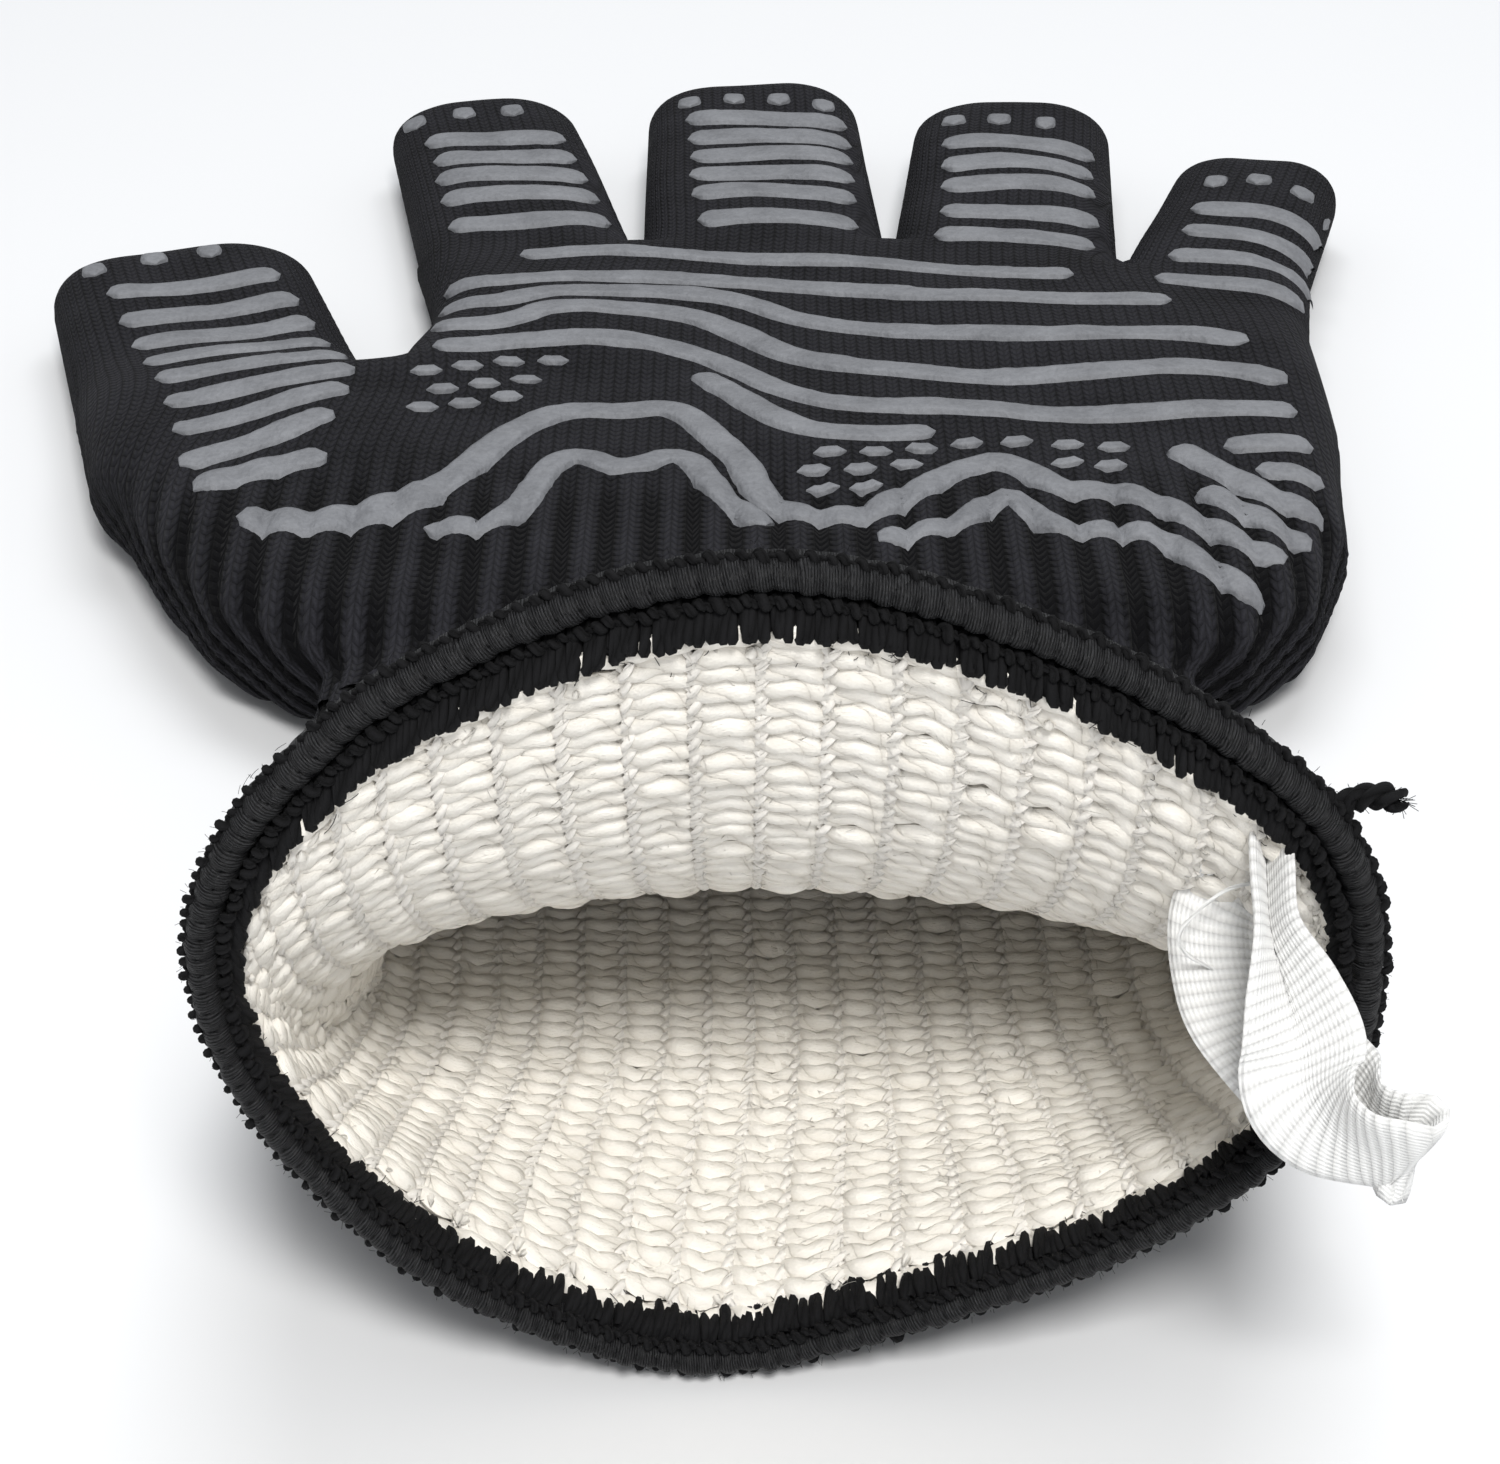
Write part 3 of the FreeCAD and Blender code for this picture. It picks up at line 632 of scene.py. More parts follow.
def build_lining_rows():
    """Each course of the lining as a heavy yarn: proud arcs on the wide ribs, dipping between them."""
    steps = LINING_RIBS * 12
    turns = np.arange(steps + 3) / steps
    rib = turns * LINING_RIBS
    phase = (rib + 0.5) % 1.0 - 0.5
    stitch = np.floor(rib + 0.5).astype(int) % LINING_RIBS
    row = np.arange(ROWS)[:, None]
    jitter = rng.normal(0, 0.20, (ROWS, LINING_RIBS))[:, stitch]
    lift = rng.normal(0, 0.14, (ROWS, LINING_RIBS))[:, stitch] * np.exp(-(phase / 0.3) ** 4)
    tilt = rng.normal(0, 0.5, (ROWS, LINING_RIBS))[:, stitch] * phase * np.exp(-(phase / 0.35) ** 4)
    arc = np.cos(np.pi * np.clip(phase / 0.46, -1, 1)) * 0.5 + 0.5
    uneven = (tilt + jitter * np.exp(-(phase / 0.35) ** 4)) * (row > 0)
    depth = first_row(turns) + ROW_PITCH * row - 1.15 * arc[None] + uneven
    plateau = np.exp(-(np.abs(phase) / 0.40) ** 4)
    height = 0.60 + 0.44 * plateau[None] * (0.80 + 0.20 * arc[None]) + lift
    height = height - 0.35 * (row == 0)
    paths, inward = on_lining(depth, np.broadcast_to(turns, depth.shape), height)
    thick = (0.72 + 0.28 * plateau[None]) * (1 + 0.25 * lift)
    halves = ((0, FRONT_ROWS, "lining_rows_front"), (FRONT_ROWS, ROWS, "lining_rows_back"))
    for a, b, name in halves:
        wide, high = 1.16 * thick[a:b], 0.84 * thick[a:b]
        cuff_strands(name, paths[a:b], inward[a:b], wide, high, 7, YARN)


def build_cross_loops():
    """Small crossed loops in the valleys between the lining's ribs."""
    t = np.linspace(-1, 1, 6)
    depth, turns, height = [], [], []
    for j in range(ROWS - 1):
        for k in range(LINING_RIBS):
            for lean in (-1, 1):
                wobble = rng.normal(0, 0.08, 3)
                course = first_row((k + 0.5) / LINING_RIBS) + ROW_PITCH * (j + 0.5)
                depth.append(course + 0.95 * t + wobble[0])
                turns.append((k + 0.5 + lean * (0.13 + wobble[1] * 0.3) * t) / LINING_RIBS)
                height.append(0.84 + 0.30 * (1 - t**2) + 0.12 * lean + wobble[2] * 0.6)
    depth, turns, height = np.array(depth), np.array(turns), np.array(height)
    paths, inward = on_lining(depth, turns, height)
    radius = 0.42 * np.array([0.6, 0.95, 1, 1, 0.95, 0.6])[None]
    cuff_strands("lining_cross_loops", paths, inward, radius, radius, 4, CROSS_YARN_SHADED)


# ---------------------------------------------------------------- the edge binding

STITCHES = int(round(RIM_LENGTH / 1.85 / 2)) * 2


def around_rim(turns, out, y):
    """Points by turn round the rim, distance out from its outline, and y."""
    at = (np.asarray(turns, float) % 1.0) * SAMPLES
    table = np.arange(SAMPLES + 1)

    def look(values):
        values = np.concatenate([values, values[:1]])
        return np.stack([np.interp(at, table, values[:, k]) for k in (0, 1)], -1)

    base = look(RIM) + look(RIM_NORMAL) * np.asarray(out)[..., None]
    return np.stack([base[..., 0], np.broadcast_to(y, base.shape[:-1]), base[..., 1]], -1)


def rim_drift(turns):
    """The edge isn't quite in one plane."""
    a = 2 * math.pi * np.asarray(turns)
    return 0.35 * np.sin(2 * a + 0.6) + 0.2 * np.sin(5 * a + 1.9) + 0.12 * np.sin(11 * a)


def build_satin():
    """The wrapped thread band round the edge."""
    columns = STITCHES * 8 + 1
    turns = np.linspace(0, 1, columns)
    across = np.linspace(0, 1, 19)
    angle = np.pi * across[:, None]
    lean = 0.35 * (across[:, None] - 0.5)
    pad = np.abs(np.sin(np.pi * (turns[None] * STITCHES + lean)))
    uneven = 1 + 0.05 * np.sin(2 * np.pi * turns * 37)[None] + 0.04 * np.sin(2 * np.pi * turns * 83)[None]
    swell = (0.78 + 0.22 * pad**0.5) * uneven
    out = -2.0 + 1.45 * np.cos(angle) * (0.5 + 0.5 * swell)
    y = 0.9 - 2.9 * np.sin(angle) ** 0.8 * swell + rim_drift(turns)[None]
    points = around_rim(np.broadcast_to(turns, out.shape), out, y)
    uv = paired(turns[None] * STITCHES + lean, across[:, None])
    obj = mesh_object("rim_wrap", points, grid_quads(*out.shape, flip=True), uv, SATIN)
    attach(obj, "cuff")
    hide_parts("edge_binding")


def bead_rope(name, node, out, y, radius, coil):
    """A thread that knots itself once a stitch, with a short straight run between the knots."""
    per_stitch = 20
    steps = STITCHES * per_stitch
    turns = np.arange(steps + 3) / steps
    stitch = turns * STITCHES
    number = np.floor(stitch).astype(int) % STITCHES
    share = np.clip((stitch % 1.0) / 0.82, 0, 1)
    knot = np.sin(np.pi * share) ** 0.5
    size = rng.normal(1.0, 0.08, STITCHES)[number]
    shift = rng.normal(0, 0.07, STITCHES)[number]
    angle = 2 * np.pi * (1.5 * share + 0.5 * number) + 0.8
    path = around_rim(turns, out + coil * knot * size * np.cos(angle) + shift * knot,
                      y + coil * knot * size * np.sin(angle) + rim_drift(turns))
    thick = radius * (0.62 + 0.38 * knot[None]) * size[None]
    cuff_strands(name, path[None], np.array([0.0, -1.0, 0.0]), thick, thick, 8, BEAD, node)


def build_needle_stitches():
    """Black stitches that hold the binding to the lining, ending raggedly, on a ground of looped thread."""
    count = int(STITCHES * 2.7)
    t = np.linspace(0, 1, 9)
    turn = (np.arange(count) + rng.normal(0, 0.25, count)) / count
    bottom = np.exp(-((((turn + 0.46) % 1.0) - 0.5) / 0.10) ** 2)
    top = hump(turn, 0.5, 0.22)
    reach = 2.0 - 2.8 * top + rng.normal(0, 0.34, count) + 0.3 * np.sin(np.arange(count) * 0.5)
    reach = reach + bottom * (0.6 + np.abs(rng.normal(0, 0.9, count)))
    start = -0.9 - 0.8 * top[:, None]
    depth = start + (reach[:, None] - start) * (t - 0.15) / 0.85
    sway = rng.normal(0, 0.0016, count)[:, None] * t
    height = 0.55 + 0.75 * np.sin(np.pi * (0.2 + 0.75 * t))[None] + rng.normal(0, 0.14, count)[:, None]
    paths, inward = on_lining(depth, turn[:, None] + sway, height)
    first = around_rim(turn, -3.5 + rng.normal(0, 0.12, count), -0.2 + rim_drift(turn))
    mix = smoothstep(0.0, 0.35, t)[None, :, None]
    paths = first[:, None] * (1 - mix) + paths * mix
    side, up = path_frames(paths, inward)
    radius = 0.40 * np.array([0.8, 1.0, 1.1, 1.1, 1.05, 1.0, 0.9, 0.7, 0.15])[None]
    parts = [tubes(paths, side, up, radius * 1.1, radius, 6)]
    columns = STITCHES * 6 + 1
    turns = np.linspace(0, 1, columns)
    uneven = 0.14 * np.sin(2 * np.pi * turns * STITCHES * 1.5)[None]
    rise = np.array([0.3, 0.75, 0.85, 0.6, 0.2])[:, None] + uneven
    start = around_rim(turns, -2.9 + 0 * turns, 0.9 + rim_drift(turns))
    top = hump(turns, 0.5, 0.22)
    low, high = -0.7 - 0.8 * top, 1.7 - 2.5 * top
    reach = low + (high - low) * np.linspace(0, 1, 5)[:, None] + 0.15 * np.sin(2 * np.pi * turns * 71)[None]
    ground, _ = on_lining(reach, np.broadcast_to(turns, reach.shape), rise)
    ground = np.concatenate([start[None], ground])
    uv = paired(turns[None] * RIM_LENGTH, np.arange(6.0)[:, None] * 0.3)
    parts.append((ground.reshape(-1, 3), grid_quads(6, columns), uv.reshape(-1, 2)))
    points, faces, uv = join(parts)
    obj = mesh_object("inner_stitches", points, faces, uv, BEAD)
    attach(obj, "cuff")
    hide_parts("inner_needle_stitches")


def build_rim_fuzz():
    """Short fibres standing off the black threads."""
    count = 900
    t = np.linspace(0, 1, 4)
    turn = rng.uniform(0, 1, count)
    angle = rng.uniform(-0.9, math.pi + 0.5, count)
    length = rng.uniform(0.15, 0.6, count)
    lean = rng.normal(0, 0.5, count)
    reach = 2.15 + length[:, None] * t
    out = -2.3 + 0.95 * reach * np.cos(angle[:, None] + 0.25 * lean[:, None] * t)
    y = 0.6 - 1.25 * reach * np.sin(angle[:, None] + 0.25 * lean[:, None] * t)
    around = turn[:, None] + lean[:, None] * length[:, None] * t / RIM_LENGTH
    paths = around_rim(around, out, y + rim_drift(around))
    cuff_strands("rim_fuzz", paths, np.array([0.3, 0.2, 0.93]), 0.022, 0.022, 3, BEAD)


def build_white_tufts():
    """Cotton pulled up between the black stitches."""
    count = 80
    t = np.linspace(0, 1, 6)
    turn = rng.uniform(0, 1, count)
    start = first_row(turn) + 1.1 + rng.normal(0, 0.3, count)
    length = rng.uniform(0.5, 1.4, count)
    depth = start[:, None] - length[:, None] * t
    sway = rng.normal(0, 0.0022, count)[:, None] * t
    height = 1.2 + rng.uniform(0.0, 0.5, count)[:, None] * np.ones_like(t)[None]
    paths, inward = on_lining(depth, turn[:, None] + sway, height)
    radius = rng.uniform(0.35, 0.62, count)[:, None] * np.array([1.0, 0.95, 0.8, 0.6, 0.35, 0.06])[None]
    cuff_strands("lining_tufts", paths, inward, radius, radius * 0.8, 5, YARN)


def hairs(name, count, material, depth_range, height, length, radius):
    """Loose fibres standing off the lining."""
    t = np.linspace(0, 1, 5)
    turn = rng.uniform(0, 1, count)
    start = rng.uniform(*depth_range, count)
    run = rng.normal(0, 1, (count, 2)) * length
    bend = rng.normal(0, 0.5, (count, 2)) * length
    depth = start[:, None] + run[:, :1] * t + bend[:, :1] * t**2
    around = turn[:, None] + (run[:, 1:] * t + bend[:, 1:] * t**2) / RIM_LENGTH
    up_run = height + rng.uniform(0.1, 1.0, count)[:, None] * t * (1.6 - t) * length
    paths, inward = on_lining(depth, around, up_run)
    cuff_strands(name, paths, inward, radius, radius, 3, material)


build_cuff_shell()
build_lining_ground()
build_lining_rows()
build_cross_loops()
build_satin()
bead_rope("outer_bead_rope", "outer_bead_row", out=-0.66, y=-0.15, radius=0.37, coil=0.34)
bead_rope("inner_bead_rope", "inner_bead_row", out=-3.75, y=-1.25, radius=0.38, coil=0.36)
build_needle_stitches()
build_rim_fuzz()
build_white_tufts()
hairs("lining_fuzz", 1500, YARN,
      depth_range=(1.2, 40.0), height=1.3, length=1.0, radius=0.024)
hairs("stitch_fuzz", 160, BEAD,
      depth_range=(-0.5, 3.0), height=1.0, length=1.1, radius=0.035)

# ---------------------------------------------------------------- the hand

# Digit base corners (left, right), length and tip radius, as in the CAD.
DIGITS = {
    "thumb": ((-87.5, 174.5), (-50.0, 185.5), 47.5, 13.5),
    "index": ((-47.5, 224.5), (-16.0, 230.5), 62.0, 12.0),
    "middle": ((-16.0, 230.5), (20.0, 231.5), 65.0, 13.0),
    "ring": ((20.0, 231.5), (53.2, 228.5), 58.0, 12.0),
    "little": ((52.2, 222.8), (78.5, 215.0), 45.0, 10.0),
}
PALM_OUTLINE = [
    (40.0, 100.0), (54.0, 102.5), (63.0, 112.0), (69.5, 130.0), (73.5, 160.0), (75.0, 194.0),
    (78.5, 215.0), (52.5, 219.0), (53.2, 224.0), (20.0, 229.5), (-16.0, 229.0), (-47.5, 224.5),
    (-42.5, 205.0), (-44.0, 192.0), (-46.5, 178.5), (-85.0, 173.0), (-79.0, 149.0), (-68.0, 125.0),
    (-60.0, 111.0), (-50.0, 102.5), (-40.0, 100.0),
]


# How far a digit's middle fold reaches each way, and the height of the folds' hinges.
FOLD_REACH = 9
HINGE_Z = 13.9


class Digit:
    """A digit's place in the plan, and directions across and along it."""

    def __init__(self, name):
        left, right, self.length, self.tip = DIGITS[name]
        self.name = name
        self.left, self.right = np.array(left), np.array(right)
        self.middle = (self.left + self.right) / 2
        self.across = unit(self.right - self.left)
        self.along = np.array([-self.across[1], self.across[0]])
        self.half = np.linalg.norm(self.right - self.left) / 2
        self.fold_start = self.length / 2 - FOLD_REACH
        self.fold_end = self.length / 2 + FOLD_REACH

    def local(self, x, y):
        """Distances across and along the digit from its base's middle."""
        dx, dy = x - self.middle[0], y - self.middle[1]
        return (dx * self.across[0] + dy * self.across[1], dx * self.along[0] + dy * self.along[1])

    def at(self, across, along):
        return self.middle + self.across * across + self.along * along

    def outline(self, inset):
        """Corners from inside the palm to the tip, inset by the tip's radius."""
        a, b = self.half - inset, self.half - 1.2 - inset
        top = self.length - inset
        return [self.at(-a, -26), self.at(a, -26), self.at(b, top), self.at(-b, top)]


def polygon_distance(x, y, corners):
    """Distance inside (positive) or outside (negative) a polygon."""
    corners = np.asarray(corners, float)
    best = np.full(x.shape, 1e9)
    inside = np.zeros(x.shape, bool)
    for a, b in zip(corners, np.roll(corners, -1, 0)):
        e = b - a
        t = (((x - a[0]) * e[0] + (y - a[1]) * e[1]) / (e @ e)).clip(0, 1)
        best = np.minimum(best, np.hypot(x - a[0] - t * e[0], y - a[1] - t * e[1]))
        if a[1] != b[1]:
            crosses = (a[1] > y) != (b[1] > y)
            inside ^= crosses & (x < (b[0] - a[0]) * (y - a[1]) / (b[1] - a[1]) + a[0])
    return np.where(inside, best, -best)


def soft_max(a, b, k):
    """The larger of two, with a rounded change-over."""
    h = np.clip(0.5 + 0.5 * (a - b) / k, 0, 1)
    return b * (1 - h) + a * h + k * h * (1 - h)


CELL = 0.9
GRID_X = np.arange(-106, 90, CELL)
GRID_Y = np.arange(93.0, 303, CELL)
GRID_Z = np.arange(-2.0, 21.5, CELL)
digits = [Digit(name) for name in DIGITS]


def hand_plan():
    """Distance inside the hand's outline, half thickness and edge radius over the plan."""
    x, y = np.meshgrid(GRID_X, GRID_Y, indexing="ij")
    inside = polygon_distance(x, y, PALM_OUTLINE)
    finger = np.zeros_like(x)
    for digit in digits:
        radius = digit.tip - 1.0
        reach = polygon_distance(x, y, digit.outline(radius)) + radius
        inside = soft_max(inside, reach, 1.0 if digit.name != "thumb" else 3.0)
        across, along = digit.local(x, y)
        near = smoothstep(digit.half + 5, digit.half - 1, np.abs(across))
        finger = np.maximum(finger, smoothstep(-16, 10, along) * near)
    wave = 0.35 * np.sin(x * 0.11 + 1.0) * np.sin(y * 0.09) + 0.22 * np.sin(x * 0.23 + y * 0.17)
    palm_half = 8.3 - 1.7 * smoothstep(175, 226, y) + 0.5 * np.exp(-((x + 52) ** 2 + (y - 150) ** 2) / 900)
    hollow = 0.9 * np.exp(-((x - 5) ** 2 / 900 + (y - 178) ** 2 / 500))
    half = palm_half - hollow
    half = half * (1 - finger) + 6.5 * finger + 0.5 * wave
    edge = 9.5 + 0.8 * finger
    return inside, half, edge


def hand_field():
    """Less than zero inside the hand; the wrist's tube is blended in."""
    inside, half, edge = hand_plan()
    z = GRID_Z[None, None, :]
    a = np.clip((edge - inside) / edge, 0, 3)[..., None]
    middle = (half + 0.35)[..., None]
    b = np.abs(z - middle) / half[..., None]
    hand = ((a**OVAL_POWER + b**OVAL_POWER) ** (1 / OVAL_POWER) - 1) * half[..., None]
    x = GRID_X[:, None, None]
    y = GRID_Y[None, :, None]
    bottom, top = station(BOTTOM, y), station(TOP, y)
    tube = (np.abs((x - station(MIDDLE, y)) / station(HALF_WIDTH, y)) ** OVAL_POWER
            + np.abs((z - (bottom + top) / 2) / ((top - bottom) / 2)) ** OVAL_POWER) ** (1 / OVAL_POWER)
    tube = (tube - 1) * (top - bottom) / 2 + 14 * smoothstep(122, 136, y)
    return -soft_max(-hand, -tube, 2.2)


def surface_net(field):
    """Four-cornered faces where the field crosses zero, one point in each crossed cell."""
    sign = field < 0
    cells = np.zeros(tuple(n - 1 for n in field.shape), bool)
    total = np.zeros(cells.shape + (3,), np.float32)
    number = np.zeros(cells.shape, np.float32)
    corner = [(i, j, k) for i in (0, 1) for j in (0, 1) for k in (0, 1)]
    nx, ny, nz = cells.shape

    def part(array, c):
        return array[c[0]:c[0] + nx, c[1]:c[1] + ny, c[2]:c[2] + nz]

    for a in corner:
        for axis in range(3):
            if a[axis]:
                continue
            b = list(a)
            b[axis] = 1
            fa, fb = part(field, a), part(field, b)
            crossed = part(sign, a) != part(sign, b)
            t = np.where(crossed, fa / np.where(crossed, fa - fb, 1), 0)
            for k in range(3):
                offset = a[k] + (t if k == axis else 0)
                total[..., k] += np.where(crossed, offset, 0)
            number += crossed
            cells |= crossed
    index = np.full(cells.shape, -1, np.int64)
    index[cells] = np.arange(cells.sum())
    origin = np.argwhere(cells)
    points = origin + total[cells] / number[cells][:, None]
    faces = []
    for axis in range(3):
        u, v = (axis + 1) % 3, (axis + 2) % 3
        lo = [slice(1, -1)] * 3
        lo[axis] = slice(0, -1)
        hi = list(lo)
        hi[axis] = slice(1, None)
        a, b = sign[tuple(lo)], sign[tuple(hi)]
        at = np.argwhere(a != b)
        base = at + np.array([0 if k == axis else 1 for k in range(3)])
        inside_first = a[tuple(at.T)]

        def cell(du, dv):
            c = base.copy()
            c[:, u] -= du
            c[:, v] -= dv
            return index[tuple(c.T)]

        quad = np.stack([cell(1, 1), cell(0, 1), cell(0, 0), cell(1, 0)], 1)
        quad[~inside_first] = quad[~inside_first][:, ::-1]
        faces.append(quad)
    faces = np.concatenate(faces)
    return points, faces[(faces >= 0).all(1)]


def vertex_normals(points, faces):
    """Normals at the points of a four-cornered mesh."""
    p = points[faces]
    normal = np.cross(p[:, 2] - p[:, 0], p[:, 3] - p[:, 1])
    out = np.zeros_like(points)
    for k in range(4):
        np.add.at(out, faces[:, k], normal)
    return unit(out)


def smooth_points(points, faces, rounds):
    """Points smoothed without shrinking; those before the wrist stay."""
    edges = np.concatenate([faces[:, [0, 1]], faces[:, [1, 2]], faces[:, [2, 3]], faces[:, [3, 0]]])
    degree = np.bincount(edges.ravel(), minlength=len(points))[:, None].astype(float)
    for _ in range(rounds):
        for weight in (0.5, -0.53):
            total = np.zeros_like(points)
            np.add.at(total, edges[:, 0], points[edges[:, 1]])
            np.add.at(total, edges[:, 1], points[edges[:, 0]])
            move = total / degree - points
            move[points[:, 1] < 95.0] = 0
            points = points + weight * move
    return points


# The hand's knit: stitch width, rib width, where a rib starts, and the back's shift from the front,
# which is three and a half ribs.
WALE = 1.62
RIB_PITCH = 4.86
FIRST_WALE = 0.8
BACK_SHIFT = 17.01


def knit_coordinates(points):
    """Distance across the wales and along them, in millimetres, following each digit."""
    x, y, z = points.T
    depth = np.clip((16.0 - z) / 16.0, 0, 1)
    u = x.copy()
    v = y.copy()
    side = np.clip(x / 8.0, -1, 1)
    for digit in digits:
        across, along = digit.local(x, y)
        width = digit.half + (9 if digit.name == "thumb" else 4)
        begin = -45 if digit.name == "thumb" else -30
        share = smoothstep(begin, 4, along) * smoothstep(width + 6, width - 2, np.abs(across))
        rib = round((digit.middle[0] - FIRST_WALE) / RIB_PITCH)
        u = u * (1 - share) + (across + rib * RIB_PITCH + FIRST_WALE) * share
        v = v * (1 - share) + (along + digit.middle[1]) * share
        side = side * (1 - share) + np.clip(across / 5.0, -1, 1) * share
    return u + side * BACK_SHIFT * smoothstep(0.15, 0.9, depth), v


def build_hand():
    """The hand's knit as points, faces, UV, normals and rib strength."""
    field = hand_field()
    points, faces = surface_net(field)
    points = points * CELL + np.array([GRID_X[0], GRID_Y[0], GRID_Z[0]])
    points = smooth_points(points, faces, 5)
    normals = vertex_normals(points, faces)
    u, v = knit_coordinates(points)
    _, y, z = points.T
    # Rib strength: sets the rib relief and how much painted shade the rib valleys get in the knit's colour.
    strength = smoothstep(146, 122, y) + 0.5 * smoothstep(230, 150, y) * smoothstep(13, 8, z)
    strength = np.clip(strength, 0, 1)
    wale = (u - FIRST_WALE) / WALE
    points = points + normals * (0.75 * strength * rib_wave(wale / 3) - 0.2)[:, None]
    fine = np.stack([wale, v / COURSE], 1)
    normals = vertex_normals(points, faces)
    return points, faces, fine, normals, strength


HAND_POINTS, HAND_FACES, HAND_UV, HAND_NORMALS, HAND_RIBBING = build_hand()
hand_corners = [tuple(p) for p in HAND_POINTS]
hand_tree = BVHTree.FromPolygons(hand_corners, [tuple(int(i) for i in f) for f in HAND_FACES])


def sub_mesh(name, mask, material):
    """The part of the hand's knit that the mask picks, as its own piece."""
    faces = HAND_FACES[mask]
    used, inverse = np.unique(faces, return_inverse=True)
    return mesh_object(name, HAND_POINTS[used], inverse.reshape(-1, 4), HAND_UV[used], material,
                       HAND_NORMALS[used], HAND_RIBBING[used])


def split_hand():
    """The hand's knit as a wrist, a palm and two pieces for each digit."""
    centre = HAND_POINTS[HAND_FACES].mean(1)
    owner = np.where(centre[:, 1] < 125.0, -2, -1)
    best = np.full(len(centre), 9.0)
    spot = np.zeros(len(centre))
    for i, digit in enumerate(digits):
        across, along = digit.local(centre[:, 0], centre[:, 1])
        share = np.abs(across) / digit.half
        mine = (along > 0) & (np.abs(across) < digit.half + 4) & (share < best)
        owner[mine] = i
        best[mine] = share[mine]
        spot[mine] = along[mine]
    wrist = sub_mesh("wrist_knit", owner == -2, SHELL)
    wrist_bend(wrist)
    palm = sub_mesh("palm_knit", owner == -1, SHELL)
    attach(palm, "palm")
    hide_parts("palm_shell", "palm_liner")
    for i, digit in enumerate(digits):
        seam = digit.fold_start
        base = sub_mesh(f"{digit.name}_base_knit", (owner == i) & (spot < seam), SHELL)
        base_bend(base, digit)
        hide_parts(f"{digit.name}_base_shell", f"{digit.name}_base_liner")
        tip = sub_mesh(f"{digit.name}_tip_knit", (owner == i) & (spot >= seam), SHELL)
        tip_bend(tip, digit)
        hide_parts(f"{digit.name}_tip_shell", f"{digit.name}_tip_liner")


def bend_points(digit, start, end):
    """A digit bend's start and end in the row frame."""
    a, b = digit.at(0, start), digit.at(0, end)
    return to_row((a[0], a[1], HINGE_Z)), to_row((b[0], b[1], HINGE_Z))


def base_bend(obj, digit):
    """Bake a digit's base piece's place into its points; the bend's start and end are found but not used."""
    start, end = bend_points(digit, 0, digit.fold_start)
    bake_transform(obj)


def tip_bend(obj, digit):
    """Bake a digit's tip piece's place into its points; the bend's start and end are found but not used."""
    start, end = bend_points(digit, digit.fold_start, digit.fold_end)
    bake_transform(obj)


split_hand()

# ---------------------------------------------------------------- silicone print

# Centre lines in plan, as (width, points). Lines that belong to a digit are split between its two parts.
PALM_LINES = [
    (3.9, [(-32, 215.5), (-26, 217), (-19, 217), (-7, 214.5), (14, 211.5), (28, 208.5), (44, 205)]),
    (4.2, [(-41.5, 203.5), (-33.5, 202), (-26, 205), (-20, 205.5), (-4, 203.5), (7, 202.5), (17.5, 199.5),
           (26.5, 196.5), (56, 194)]),
    (4.2, [(-41.5, 194.5), (-33, 193.5), (-25.5, 197.5), (-15, 199.2), (-6.5, 198), (-0.5, 195.5),
           (5.5, 190.5), (13, 187), (26, 183.2), (37.5, 180.5), (48, 181.5), (55.5, 181), (64, 177.5)]),
    (4.4, [(-41.5, 184), (-35, 184.5), (-30, 187), (-26.5, 190), (-20, 191.5), (-12, 191.5), (-6.5, 189.5),
           (-1, 184.5), (5, 177.5), (12.5, 173), (21.5, 170), (30, 168.5), (45.5, 168.5), (54, 169.5),
           (61.5, 168), (67, 164.5)]),
    (4.4, [(-40.5, 175), (-35.5, 176), (-29.5, 178.5), (-22, 180), (-14, 179.5), (-7.5, 177), (-1.5, 171.5),
           (3.5, 165), (8.5, 161), (13.5, 159.5), (29.5, 157.5), (38, 156), (55, 155.5), (67, 156)]),
    (4.2, [(-6.5, 169.5), (-2, 162), (3.5, 153.5), (8.5, 150), (15.5, 150), (22.5, 151)]),
]
THUMB_MOUND = [
    (4.0, [(-69.5, 148.5), (-60, 153.5), (-49.5, 160.5)]),
    (4.2, [(-67, 138.5), (-58.5, 145.5), (-50.5, 152.5)]),
    (4.4, [(-64.5, 132.5), (-57.5, 137.5), (-50, 141.5)]),
]
FAN = [
    (4.2, [(50.5, 145.5), (53.5, 141.5), (57.5, 136), (61.5, 131.5), (66, 128.5)]),
    (4.2, [(52.5, 134), (56.5, 128.5), (60, 124.5), (63.5, 121.5)]),
    (3.8, [(56.5, 145), (61, 145.5), (67.5, 146.5)]),
    (3.8, [(59.5, 139), (63.5, 138.5), (67.5, 137.5)]),
]
UPPER_RIDGE = [
    (6.8, [(-58.5, 125), (-51, 124.5), (-45.5, 126), (-40, 128.8), (-36, 132.8)]),
    (4.8, [(-38, 130.5), (-36, 132.8), (-33, 139), (-30, 146.5), (-25.5, 153), (-21, 156.5), (-16, 157),
           (-11, 158), (-7.5, 155), (-4, 148), (-1, 141.5), (0.8, 134.5), (3, 129.5), (7, 127.5),
           (11.5, 127), (15, 128.5), (20, 133.5), (24.5, 139), (28.5, 141.5), (31.5, 140), (34.5, 135.8),
           (37.5, 133), (43, 132), (47, 129), (51, 124.5), (55, 120), (59.5, 115.5)]),
]
